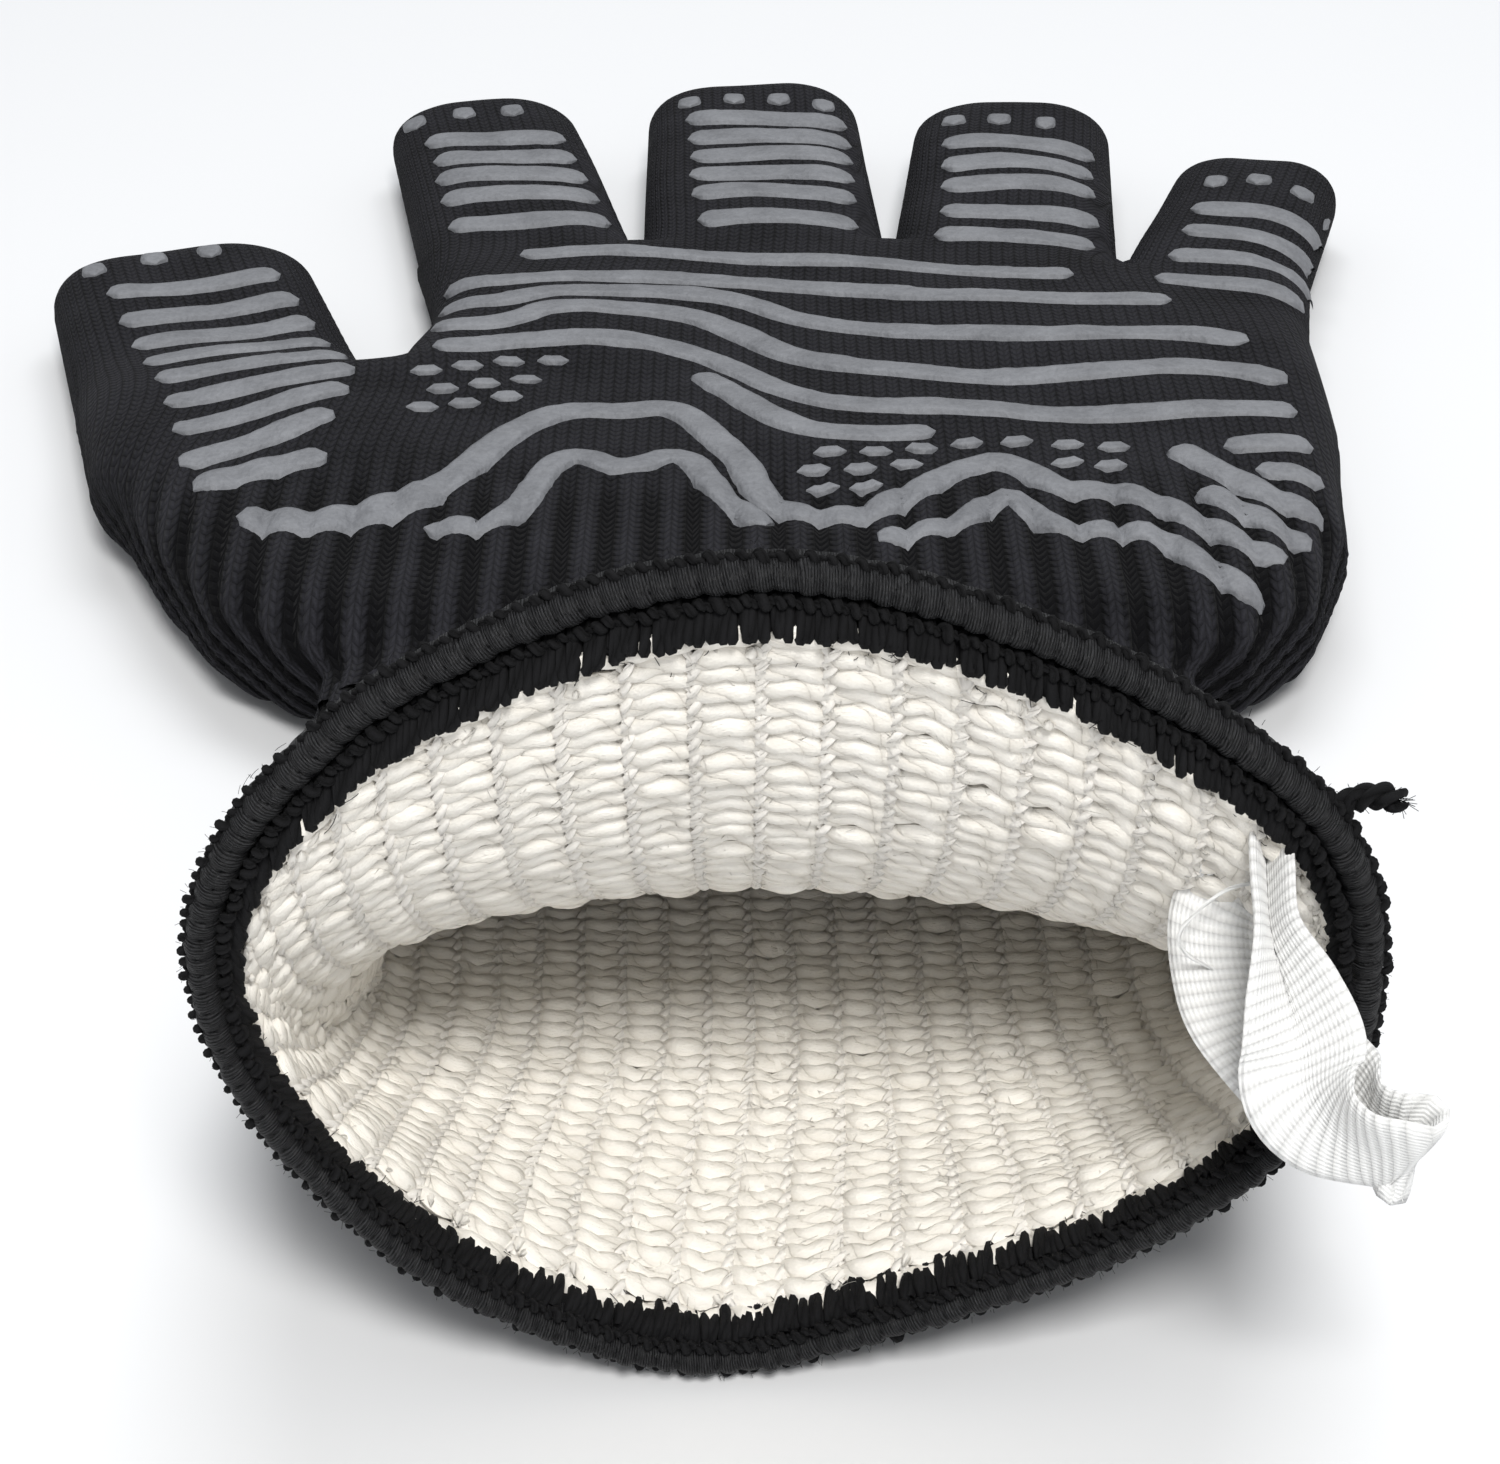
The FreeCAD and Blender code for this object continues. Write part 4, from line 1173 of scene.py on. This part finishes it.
LOWER_RIDGE = [
    (4.3, [(-37, 122.5), (-31.5, 122.5), (-28.2, 124), (-26.2, 128), (-25, 134), (-23.6, 139),
           (-21.5, 141.8), (-19, 141.5), (-16, 139.2), (-13, 139.8), (-9.7, 142.8), (-7, 141.5),
           (-5.2, 137), (-3, 131.5), (-0.5, 127), (1.8, 123.5)]),
    (4.3, [(14.5, 119.5), (18.5, 122), (21.5, 122.8), (24.8, 125), (27.5, 129), (29.5, 131.2),
           (31.2, 130), (32.8, 125.5), (35, 122.8), (38.5, 122.3), (42, 122.3), (45.5, 121.5),
           (48.3, 117.8), (51.7, 112.8), (56, 108)]),
]
DASHES = [
    (-40.5, 166.5), (-35.5, 168.5), (-30.5, 171), (-25.0, 172.5), (-38.0, 161), (-33.0, 163), (-28.0, 165.5),
    (-40.0, 155.5), (-35.0, 157), (-30.0, 159.5), (9.5, 143.5), (15.0, 144), (20.5, 145.5), (26.0, 147),
    (32.0, 147), (38.0, 146), (43.5, 145.5), (7.5, 138.8), (13.0, 138.8), (18.5, 140.5), (37.5, 140.6),
    (42.5, 139.5), (8.5, 134), (13.5, 134),
]
DIGIT_LINES = {
    "thumb": (5.2, [[(-87, 201.5), (-76, 204.5), (-64.5, 209.5)], [(-83.5, 191), (-72, 195.5), (-61, 201.5)],
                    [(-80.5, 183), (-69, 187.5), (-58, 194)], [(-77.5, 174.5), (-66, 179), (-55, 186)],
                    [(-74.5, 166), (-62, 169.5), (-51.5, 175.5)],
                    [(-72, 157.5), (-60.5, 161.5), (-49.5, 167.5)]]),
    "index": (6.0, [[(-49.5, 264), (-38, 264.5), (-28, 264)], [(-47.5, 255.5), (-36.5, 256), (-26, 256.5)],
                    [(-46.5, 247.5), (-35.5, 248.5), (-24, 249)], [(-45, 239), (-33.5, 240.5), (-22, 241.5)],
                    [(-43, 228), (-32.5, 229.5), (-20, 232)]]),
    "middle": (6.2, [[(-10, 273), (2, 273.5), (15, 273.5)], [(-9.5, 264.8), (2, 265.6), (15.5, 265.8)],
                     [(-9, 256.5), (2, 258.2), (15.5, 257.5)], [(-9, 248), (2, 250), (15.5, 248.5)],
                     [(-8.5, 239.5), (2, 242), (15.5, 239.5)], [(-7.5, 229.5), (3, 230), (15.5, 229)]]),
    "ring": (6.0, [[(29, 261), (40.5, 262), (52, 259)], [(28.5, 252.3), (40, 253.3), (51, 250.5)],
                   [(28, 244.2), (39.5, 245.2), (50.5, 242)], [(27.3, 233.5), (39, 233.8), (50, 230.5)],
                   [(26, 224.5), (38, 223.5), (48.5, 221)]]),
    "little": (5.2, [[(63.5, 234.5), (73, 233), (83, 229)], [(61, 224.5), (70.5, 223.5), (81, 219.5)],
                     [(58, 215), (68, 213), (78, 209)], [(55, 205), (64.5, 202.5), (74.5, 198.5)]]),
}
TIP_DOTS = {
    "thumb": [(-90.5, 211.5), (-83, 216), (-75.5, 218)],
    "index": [(-52, 274.5), (-44.5, 276.5), (-37, 276.5)],
    "middle": [(-9.5, 281), (-2.5, 282.5), (4.5, 282.5), (11.5, 280.5)],
    "ring": [(31.5, 272.5), (38.5, 273), (45.5, 271)],
    "little": [(68.5, 245.5), (75, 246), (81, 243), (86.5, 238.5)],
}


def on_hand(x, y):
    """The top of the hand under a plan point, and its normal."""
    hit, normal, _, _ = hand_tree.ray_cast(Vector((x, y, 60.0)), Vector((0, 0, -1)))
    if hit is None:
        near, normal, _, _ = hand_tree.find_nearest(Vector((x, y, 10.0)))
        return np.array(near), np.array(normal)
    return np.array(hit), np.array(normal)


def smooth_line(points, gap):
    """Points about gap apart on a smooth line through the given ones."""
    p = np.asarray(points, float)
    ends = np.concatenate([[2 * p[0] - p[1]], p, [2 * p[-1] - p[-2]]])
    out = []
    for i in range(len(p) - 1):
        a, b, c, d = ends[i:i + 4]
        n = max(2, int(np.linalg.norm(c - b) / gap))
        t = np.linspace(0, 1, n, endpoint=False)[:, None]
        out.append(spline(a, b, c, d, t))
    return np.concatenate(out + [p[-1:]])


DASH_WIDTH = 2.6
DASH_SLANT = 0.15
DOT_WIDTH = 3.9
PRINT_HEIGHT = 0.6
PRINT_STEP = 0.8
PALM_WIDENING = 1.14


def print_ribbon(points, width):
    """A raised rounded ribbon that lies on the hand along a plan line."""
    line = smooth_line(points, PRINT_STEP)
    tangent = unit(np.gradient(line, axis=0))
    side = np.stack([-tangent[:, 1], tangent[:, 0]], 1)
    run = run_along(line)
    end = np.minimum(run, run[-1] - run)
    round_off = np.sqrt(np.clip(1 - (1 - np.clip(end / (0.42 * width), 0, 1)) ** 2, 0.0, 1))
    edge = np.linspace(-1, 1, 11)
    wobble = np.convolve(rng.normal(0, 0.22, len(line) + 4), np.ones(5) / 5, mode="valid")
    half = (width / 2 + wobble)[:, None] * round_off[:, None] + 0.01
    rise = (1 - np.abs(edge) ** 5)[None] * (0.35 + 0.65 * round_off[:, None])
    swelling = np.convolve(rng.normal(0, 0.25, len(line) + 4), np.ones(5) / 5, mode="valid")
    rise = PRINT_HEIGHT * rise * (1 + swelling)[:, None]
    out = np.zeros((len(line), len(edge), 3))
    for i in range(len(line)):
        for j, e in enumerate(edge):
            x, y = line[i] + side[i] * e * half[i, 0]
            base, normal = on_hand(x, y)
            if normal[2] < 0:
                normal = -normal
            lift = rise[i, j] - (0.35 if abs(e) == 1 else 0.0)
            out[i, j] = base + normal * lift
    uv = paired(run[:, None], edge[None])
    return out.reshape(-1, 3), grid_quads(len(line), len(edge), flip=True), uv.reshape(-1, 2)


def print_object(name, ribbons):
    """One piece of silicone print from its (width, line) ribbons."""
    points, faces, uv = join([print_ribbon(line, width) for width, line in ribbons])
    return mesh_object(name, points, faces, uv, SILICONE, vertex_normals(points, faces))


def dash(x, y):
    """A short slanting ribbon about a plan point, as (width, line)."""
    rise = 2.0 * DASH_SLANT
    return (DASH_WIDTH, [(x - 2.0, y - rise), (x, y), (x + 2.0, y + rise)])


def dot(digit, spot):
    """A fingertip dot, as (width, line)."""
    a = np.array(spot)
    return (DOT_WIDTH, [tuple(a - digit.along * 2.6), tuple(a), tuple(a + digit.along * 2.2)])


def build_prints():
    """The grip print, piece by piece."""
    palm = [(PALM_WIDENING * width, line) for width, line in PALM_LINES + THUMB_MOUND + FAN]
    groups = (
        ("palm_lines", palm, "palm_grip_ribs"),
        ("palm_upper_line", UPPER_RIDGE, "palm_upper_ridge"),
        ("palm_lower_line", LOWER_RIDGE, "palm_lower_ridge"),
        ("palm_dashes", [dash(x, y) for x, y in DASHES], "palm_grip_dashes"),
    )
    for name, ribbons, node in groups:
        obj = print_object(name, ribbons)
        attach(obj, "palm")
        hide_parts(node)
    for digit in digits:
        width, lines = DIGIT_LINES[digit.name]
        seam = digit.fold_start
        middle = [digit.local(*np.mean(line, 0))[1] for line in lines]
        sets = {
            "palm": [(width, line) for line, t in zip(lines, middle) if t < 1.5],
            "base": [(width, line) for line, t in zip(lines, middle) if 1.5 <= t < seam],
            "tip": [(width, line) for line, t in zip(lines, middle) if t >= seam],
        }
        if sets["palm"]:
            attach(print_object(f"{digit.name}_root_lines", sets["palm"]), "palm")
        if sets["base"]:
            obj = print_object(f"{digit.name}_base_lines", sets["base"])
            base_bend(obj, digit)
        else:
            obj = bpy.data.objects[f"{digit.name}_base_knit"]
        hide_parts(f"{digit.name}_base_grip_ribs")
        obj = print_object(f"{digit.name}_tip_lines", sets["tip"])
        tip_bend(obj, digit)
        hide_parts(f"{digit.name}_tip_grip_ribs")
        obj = print_object(f"{digit.name}_dots", [dot(digit, spot) for spot in TIP_DOTS[digit.name]])
        tip_bend(obj, digit)
        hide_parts(f"{digit.name}_tip_dots")


build_prints()

# ---------------------------------------------------------------- hanging loop, its tack and a thread end

TAPE_WIDTH = 10.0
TAPE_THICKNESS = 0.9
# The folded tape's course from its tack to the fold and back: place, direction across, and how far the
# tape is creased along its length.
TAPE_COURSE = [
    (39.2, 4.0, 50.0, 1.0, 0.0, 0.0, 0.86), (38.8, 0.0, 48.0, 1.0, 0.0, 0.0, 0.86),
    (38.9, -3.5, 45.4, 1.0, 0.0, 0.0, 0.84), (39.9, -7.0, 42.8, 1.0, 0.0, 0.05, 0.55),
    (40.9, -10.0, 40.3, 0.96, -0.18, 0.14, 0.28), (41.2, -12.6, 38.3, 0.80, -0.40, 0.45, 0.20),
    (42.4, -14.5, 37.0, 0.60, -0.48, 0.64, 0.14), (44.2, -16.0, 36.3, 0.40, -0.50, 0.77, 0.08),
    (46.1, -17.0, 36.0, 0.30, -0.50, 0.81, 0.05), (47.7, -17.5, 35.7, 0.28, -0.48, 0.83, 0.0),
    (48.5, -16.4, 35.6, 0.28, -0.45, 0.85, 0.0), (47.6, -15.0, 35.6, 0.28, -0.45, 0.85, 0.0),
    (45.6, -13.2, 35.6, 0.38, -0.45, 0.81, 0.0), (43.6, -10.0, 35.8, 0.62, -0.35, 0.70, 0.0),
    (40.8, -5.6, 36.4, 0.92, -0.10, 0.35, 0.05), (38.2, -1.5, 37.7, 1.0, 0.0, 0.15, 0.20),
    (37.3, 1.6, 39.6, 1.0, 0.0, 0.10, 0.25), (37.2, 4.0, 42.3, 1.0, 0.0, 0.05, 0.25),
    (38.4, 5.6, 45.0, 1.0, 0.0, 0.0, 0.20), (38.8, 5.4, 49.4, 1.0, 0.0, 0.0, 0.30),
]


def build_tape():
    """The hanging loop: a flat tape, creased and folded."""
    course = smooth_line(TAPE_COURSE, 0.45)
    centre, side, fold = course[:, :3], unit(course[:, 3:6]), course[:, 6].clip(0, 1)
    tangent = unit(np.gradient(centre, axis=0))
    side = unit(side - tangent * (side * tangent).sum(1, keepdims=True))
    up = np.cross(tangent, side)
    run = run_along(centre)
    half = TAPE_WIDTH / 2
    edge = np.concatenate([np.linspace(-1, 1, 15), np.linspace(1, -1, 15)])
    face = np.concatenate([np.full(15, 0.5), np.full(15, -0.5)]) * TAPE_THICKNESS
    face = face * (1 - 0.75 * np.abs(edge) ** 8)
    slope = fold[:, None] * math.pi / 2 * 0.93
    arm = half * (np.sqrt(edge**2 + 0.02) - 0.14)[None]
    wave = (0.35 * np.sin(run * 0.55)[:, None] * edge[None]
            + 0.25 * np.sin(run * 0.33 + 1)[:, None] * edge[None] ** 2)
    across = (np.sign(edge)[None] * np.abs(edge)[None] * half * np.cos(slope)
              - face[None] * np.sin(slope) * np.sign(edge))
    rise = arm * np.sin(slope) + face[None] * np.cos(slope) + wave * (1 - fold[:, None])
    points = centre[:, None] + side[:, None] * across[..., None] + up[:, None] * rise[..., None]
    uv = paired(run[:, None], edge[None] * half)
    rows, columns = across.shape
    here = np.arange(rows * columns).reshape(rows, columns)
    ahead = np.roll(here, -1, 1)
    faces = np.stack([here[:-1], ahead[:-1], ahead[1:], here[1:]], -1).reshape(-1, 4)
    caps = [[row[i], row[i + 1], row[columns - 2 - i], row[columns - 1 - i]]
            for row in (here[0], here[-1][::-1])
            for i in range(columns // 2 - 1)]
    faces = np.concatenate([faces, np.array(caps)])
    obj = mesh_object("tape_loop", points, faces, uv, TWILL)
    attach(obj, "loop")
    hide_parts("hanging_loop")


def build_tack():
    """The bar tack's close stitches over the tape's two ends, and a loose white thread."""
    count = 15
    t = np.linspace(-1, 1, 7)
    x = 34.6 + 0.68 * np.arange(count)
    bow = 0.9 * (1 - t**2)
    paths = np.stack([x[:, None] + 0.15 * rng.normal(0, 1, count)[:, None] + 0 * t,
                      5.0 - bow[None] + 0 * x[:, None],
                      48.2 + 0.10 * (x[:, None] - 39) + 1.5 * t + rng.normal(0, 0.15, count)[:, None]], -1)
    side, up = path_frames(paths, np.array([0.0, -1.0, 0.2]))
    parts = [tubes(paths, side, up, 0.36, 0.36, 6)]
    loose = smooth_line([(39.2, 2.4, 47.0), (36.0, 2.0, 46.2), (33.0, 1.4, 43.2), (33.4, 1.2, 41.2),
                         (35.4, 1.6, 39.6), (37.4, 1.8, 38.2)], 0.5)[None]
    side, up = path_frames(loose, np.array([0.0, -1.0, 0.0]))
    parts.append(tubes(loose, side, up, 0.17, 0.17, 6))
    points, faces, uv = join(parts)
    obj = mesh_object("bar_tack", points, faces, uv, TACK)
    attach(obj, "cuff")
    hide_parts("loop_bar_tack")


def build_thread_tail():
    """The cut end of the binding's threads, standing off the edge and frayed."""
    spine = smooth_line([(43.8, 0.4, 54.8), (45.2, -0.4, 56.0), (46.8, -0.8, 56.4), (48.4, -0.9, 55.9)], 0.2)
    run = np.linspace(0, 1, len(spine))
    side, up = path_frames(spine[None], np.array([0.0, -1.0, 0.0]))
    parts = []
    for k in range(3):
        angle = 2 * np.pi * (1.3 * run + k / 3)
        coil = 0.48 + 0.25 * run**3
        path = spine[None] + (side * np.cos(angle)[:, None] + up * np.sin(angle)[:, None]) * coil[:, None]
        radius = 0.60 * (1 - 0.55 * run**6)[None]
        parts.append(tubes(path, side, up, radius, radius, 7))
    count = 160
    t = np.linspace(0, 1, 4)
    root = spine[rng.integers(len(spine) // 5, len(spine), count)]
    away = unit(rng.normal(0, 1, (count, 3)) * np.array([1.0, 1.0, 0.8]) + np.array([0.4, -0.2, 0.1]))
    length = rng.uniform(0.7, 1.5, count)
    paths = root[:, None] + away[:, None] * (length[:, None] * t)[..., None]
    side, up = path_frames(paths, np.array([0.1, 0.3, 0.9]))
    parts.append(tubes(paths, side, up, 0.03, 0.03, 3))
    points, faces, uv = join(parts)
    obj = mesh_object("frayed_thread_end", points, faces, uv, BEAD)
    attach(obj, "cuff")
    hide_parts("thread_tail")


build_tape()
build_tack()
build_thread_tail()

# ---------------------------------------------------------------- floor, light and camera


def build_stage():
    """The pale floor."""
    floor_z = float(cad_box[0][2]) - 0.0002
    mesh = bpy.data.meshes.new("floor")
    s = 6.0
    corners = [(-s, -s, floor_z), (s, -s, floor_z), (s, s, floor_z), (-s, s, floor_z)]
    mesh.from_pydata(corners, [], [(0, 1, 2, 3)])
    floor = bpy.data.objects.new("floor", mesh)
    bpy.context.scene.collection.objects.link(floor)
    shader = Shader("pale_floor", Roughness=0.75, Specular_IOR_Level=0.2)
    shader.surface.inputs["Base Color"].default_value = (0.74, 0.745, 0.755, 1)
    mesh.materials.append(shader.material)


def area_light(name, place, target, size_x, size_y, power, color):
    data = bpy.data.lights.new(name, "AREA")
    data.shape = "RECTANGLE"
    data.size, data.size_y = size_x, size_y
    data.energy = power
    data.color = color
    light = bpy.data.objects.new(name, data)
    light.location = place
    light.rotation_euler = (Vector(target) - Vector(place)).to_track_quat("-Z", "Y").to_euler()
    bpy.context.scene.collection.objects.link(light)


def build_light():
    """Three soft lights and a pale sky."""
    world = bpy.data.worlds.new("studio")
    world.use_nodes = True
    world.node_tree.nodes["Background"].inputs[0].default_value = (0.95, 0.97, 1.0, 1)
    world.node_tree.nodes["Background"].inputs[1].default_value = 0.40
    bpy.context.scene.world = world
    area_light("key", (0.10, -0.88, 1.02), (0, -0.05, 0.02), 0.35, 0.35, 15.0, (1.0, 0.99, 0.97))
    area_light("front", (0.16, -1.20, 0.62), (0, -0.12, 0.03), 0.5, 0.4, 1.2, (1.0, 0.99, 0.98))
    area_light("back", (0.10, 0.60, 1.20), (0, -0.05, 0.0), 0.9, 0.6, 8.5, (0.96, 0.98, 1.0))


def build_camera():
    """The camera that the picture is taken from."""
    data = bpy.data.cameras.new("camera")
    data.sensor_width = 36.0
    data.lens = 76.92
    data.clip_start, data.clip_end = 0.01, 50
    camera = bpy.data.objects.new("camera", data)
    camera.location = to_row((0.0, -203.3, 178.8))
    camera.rotation_euler = (math.radians(60.0), 0, 0)
    bpy.context.scene.collection.objects.link(camera)
    bpy.context.scene.camera = camera


build_stage()
build_light()
build_camera()
bpy.context.scene.view_settings.view_transform = "Standard"
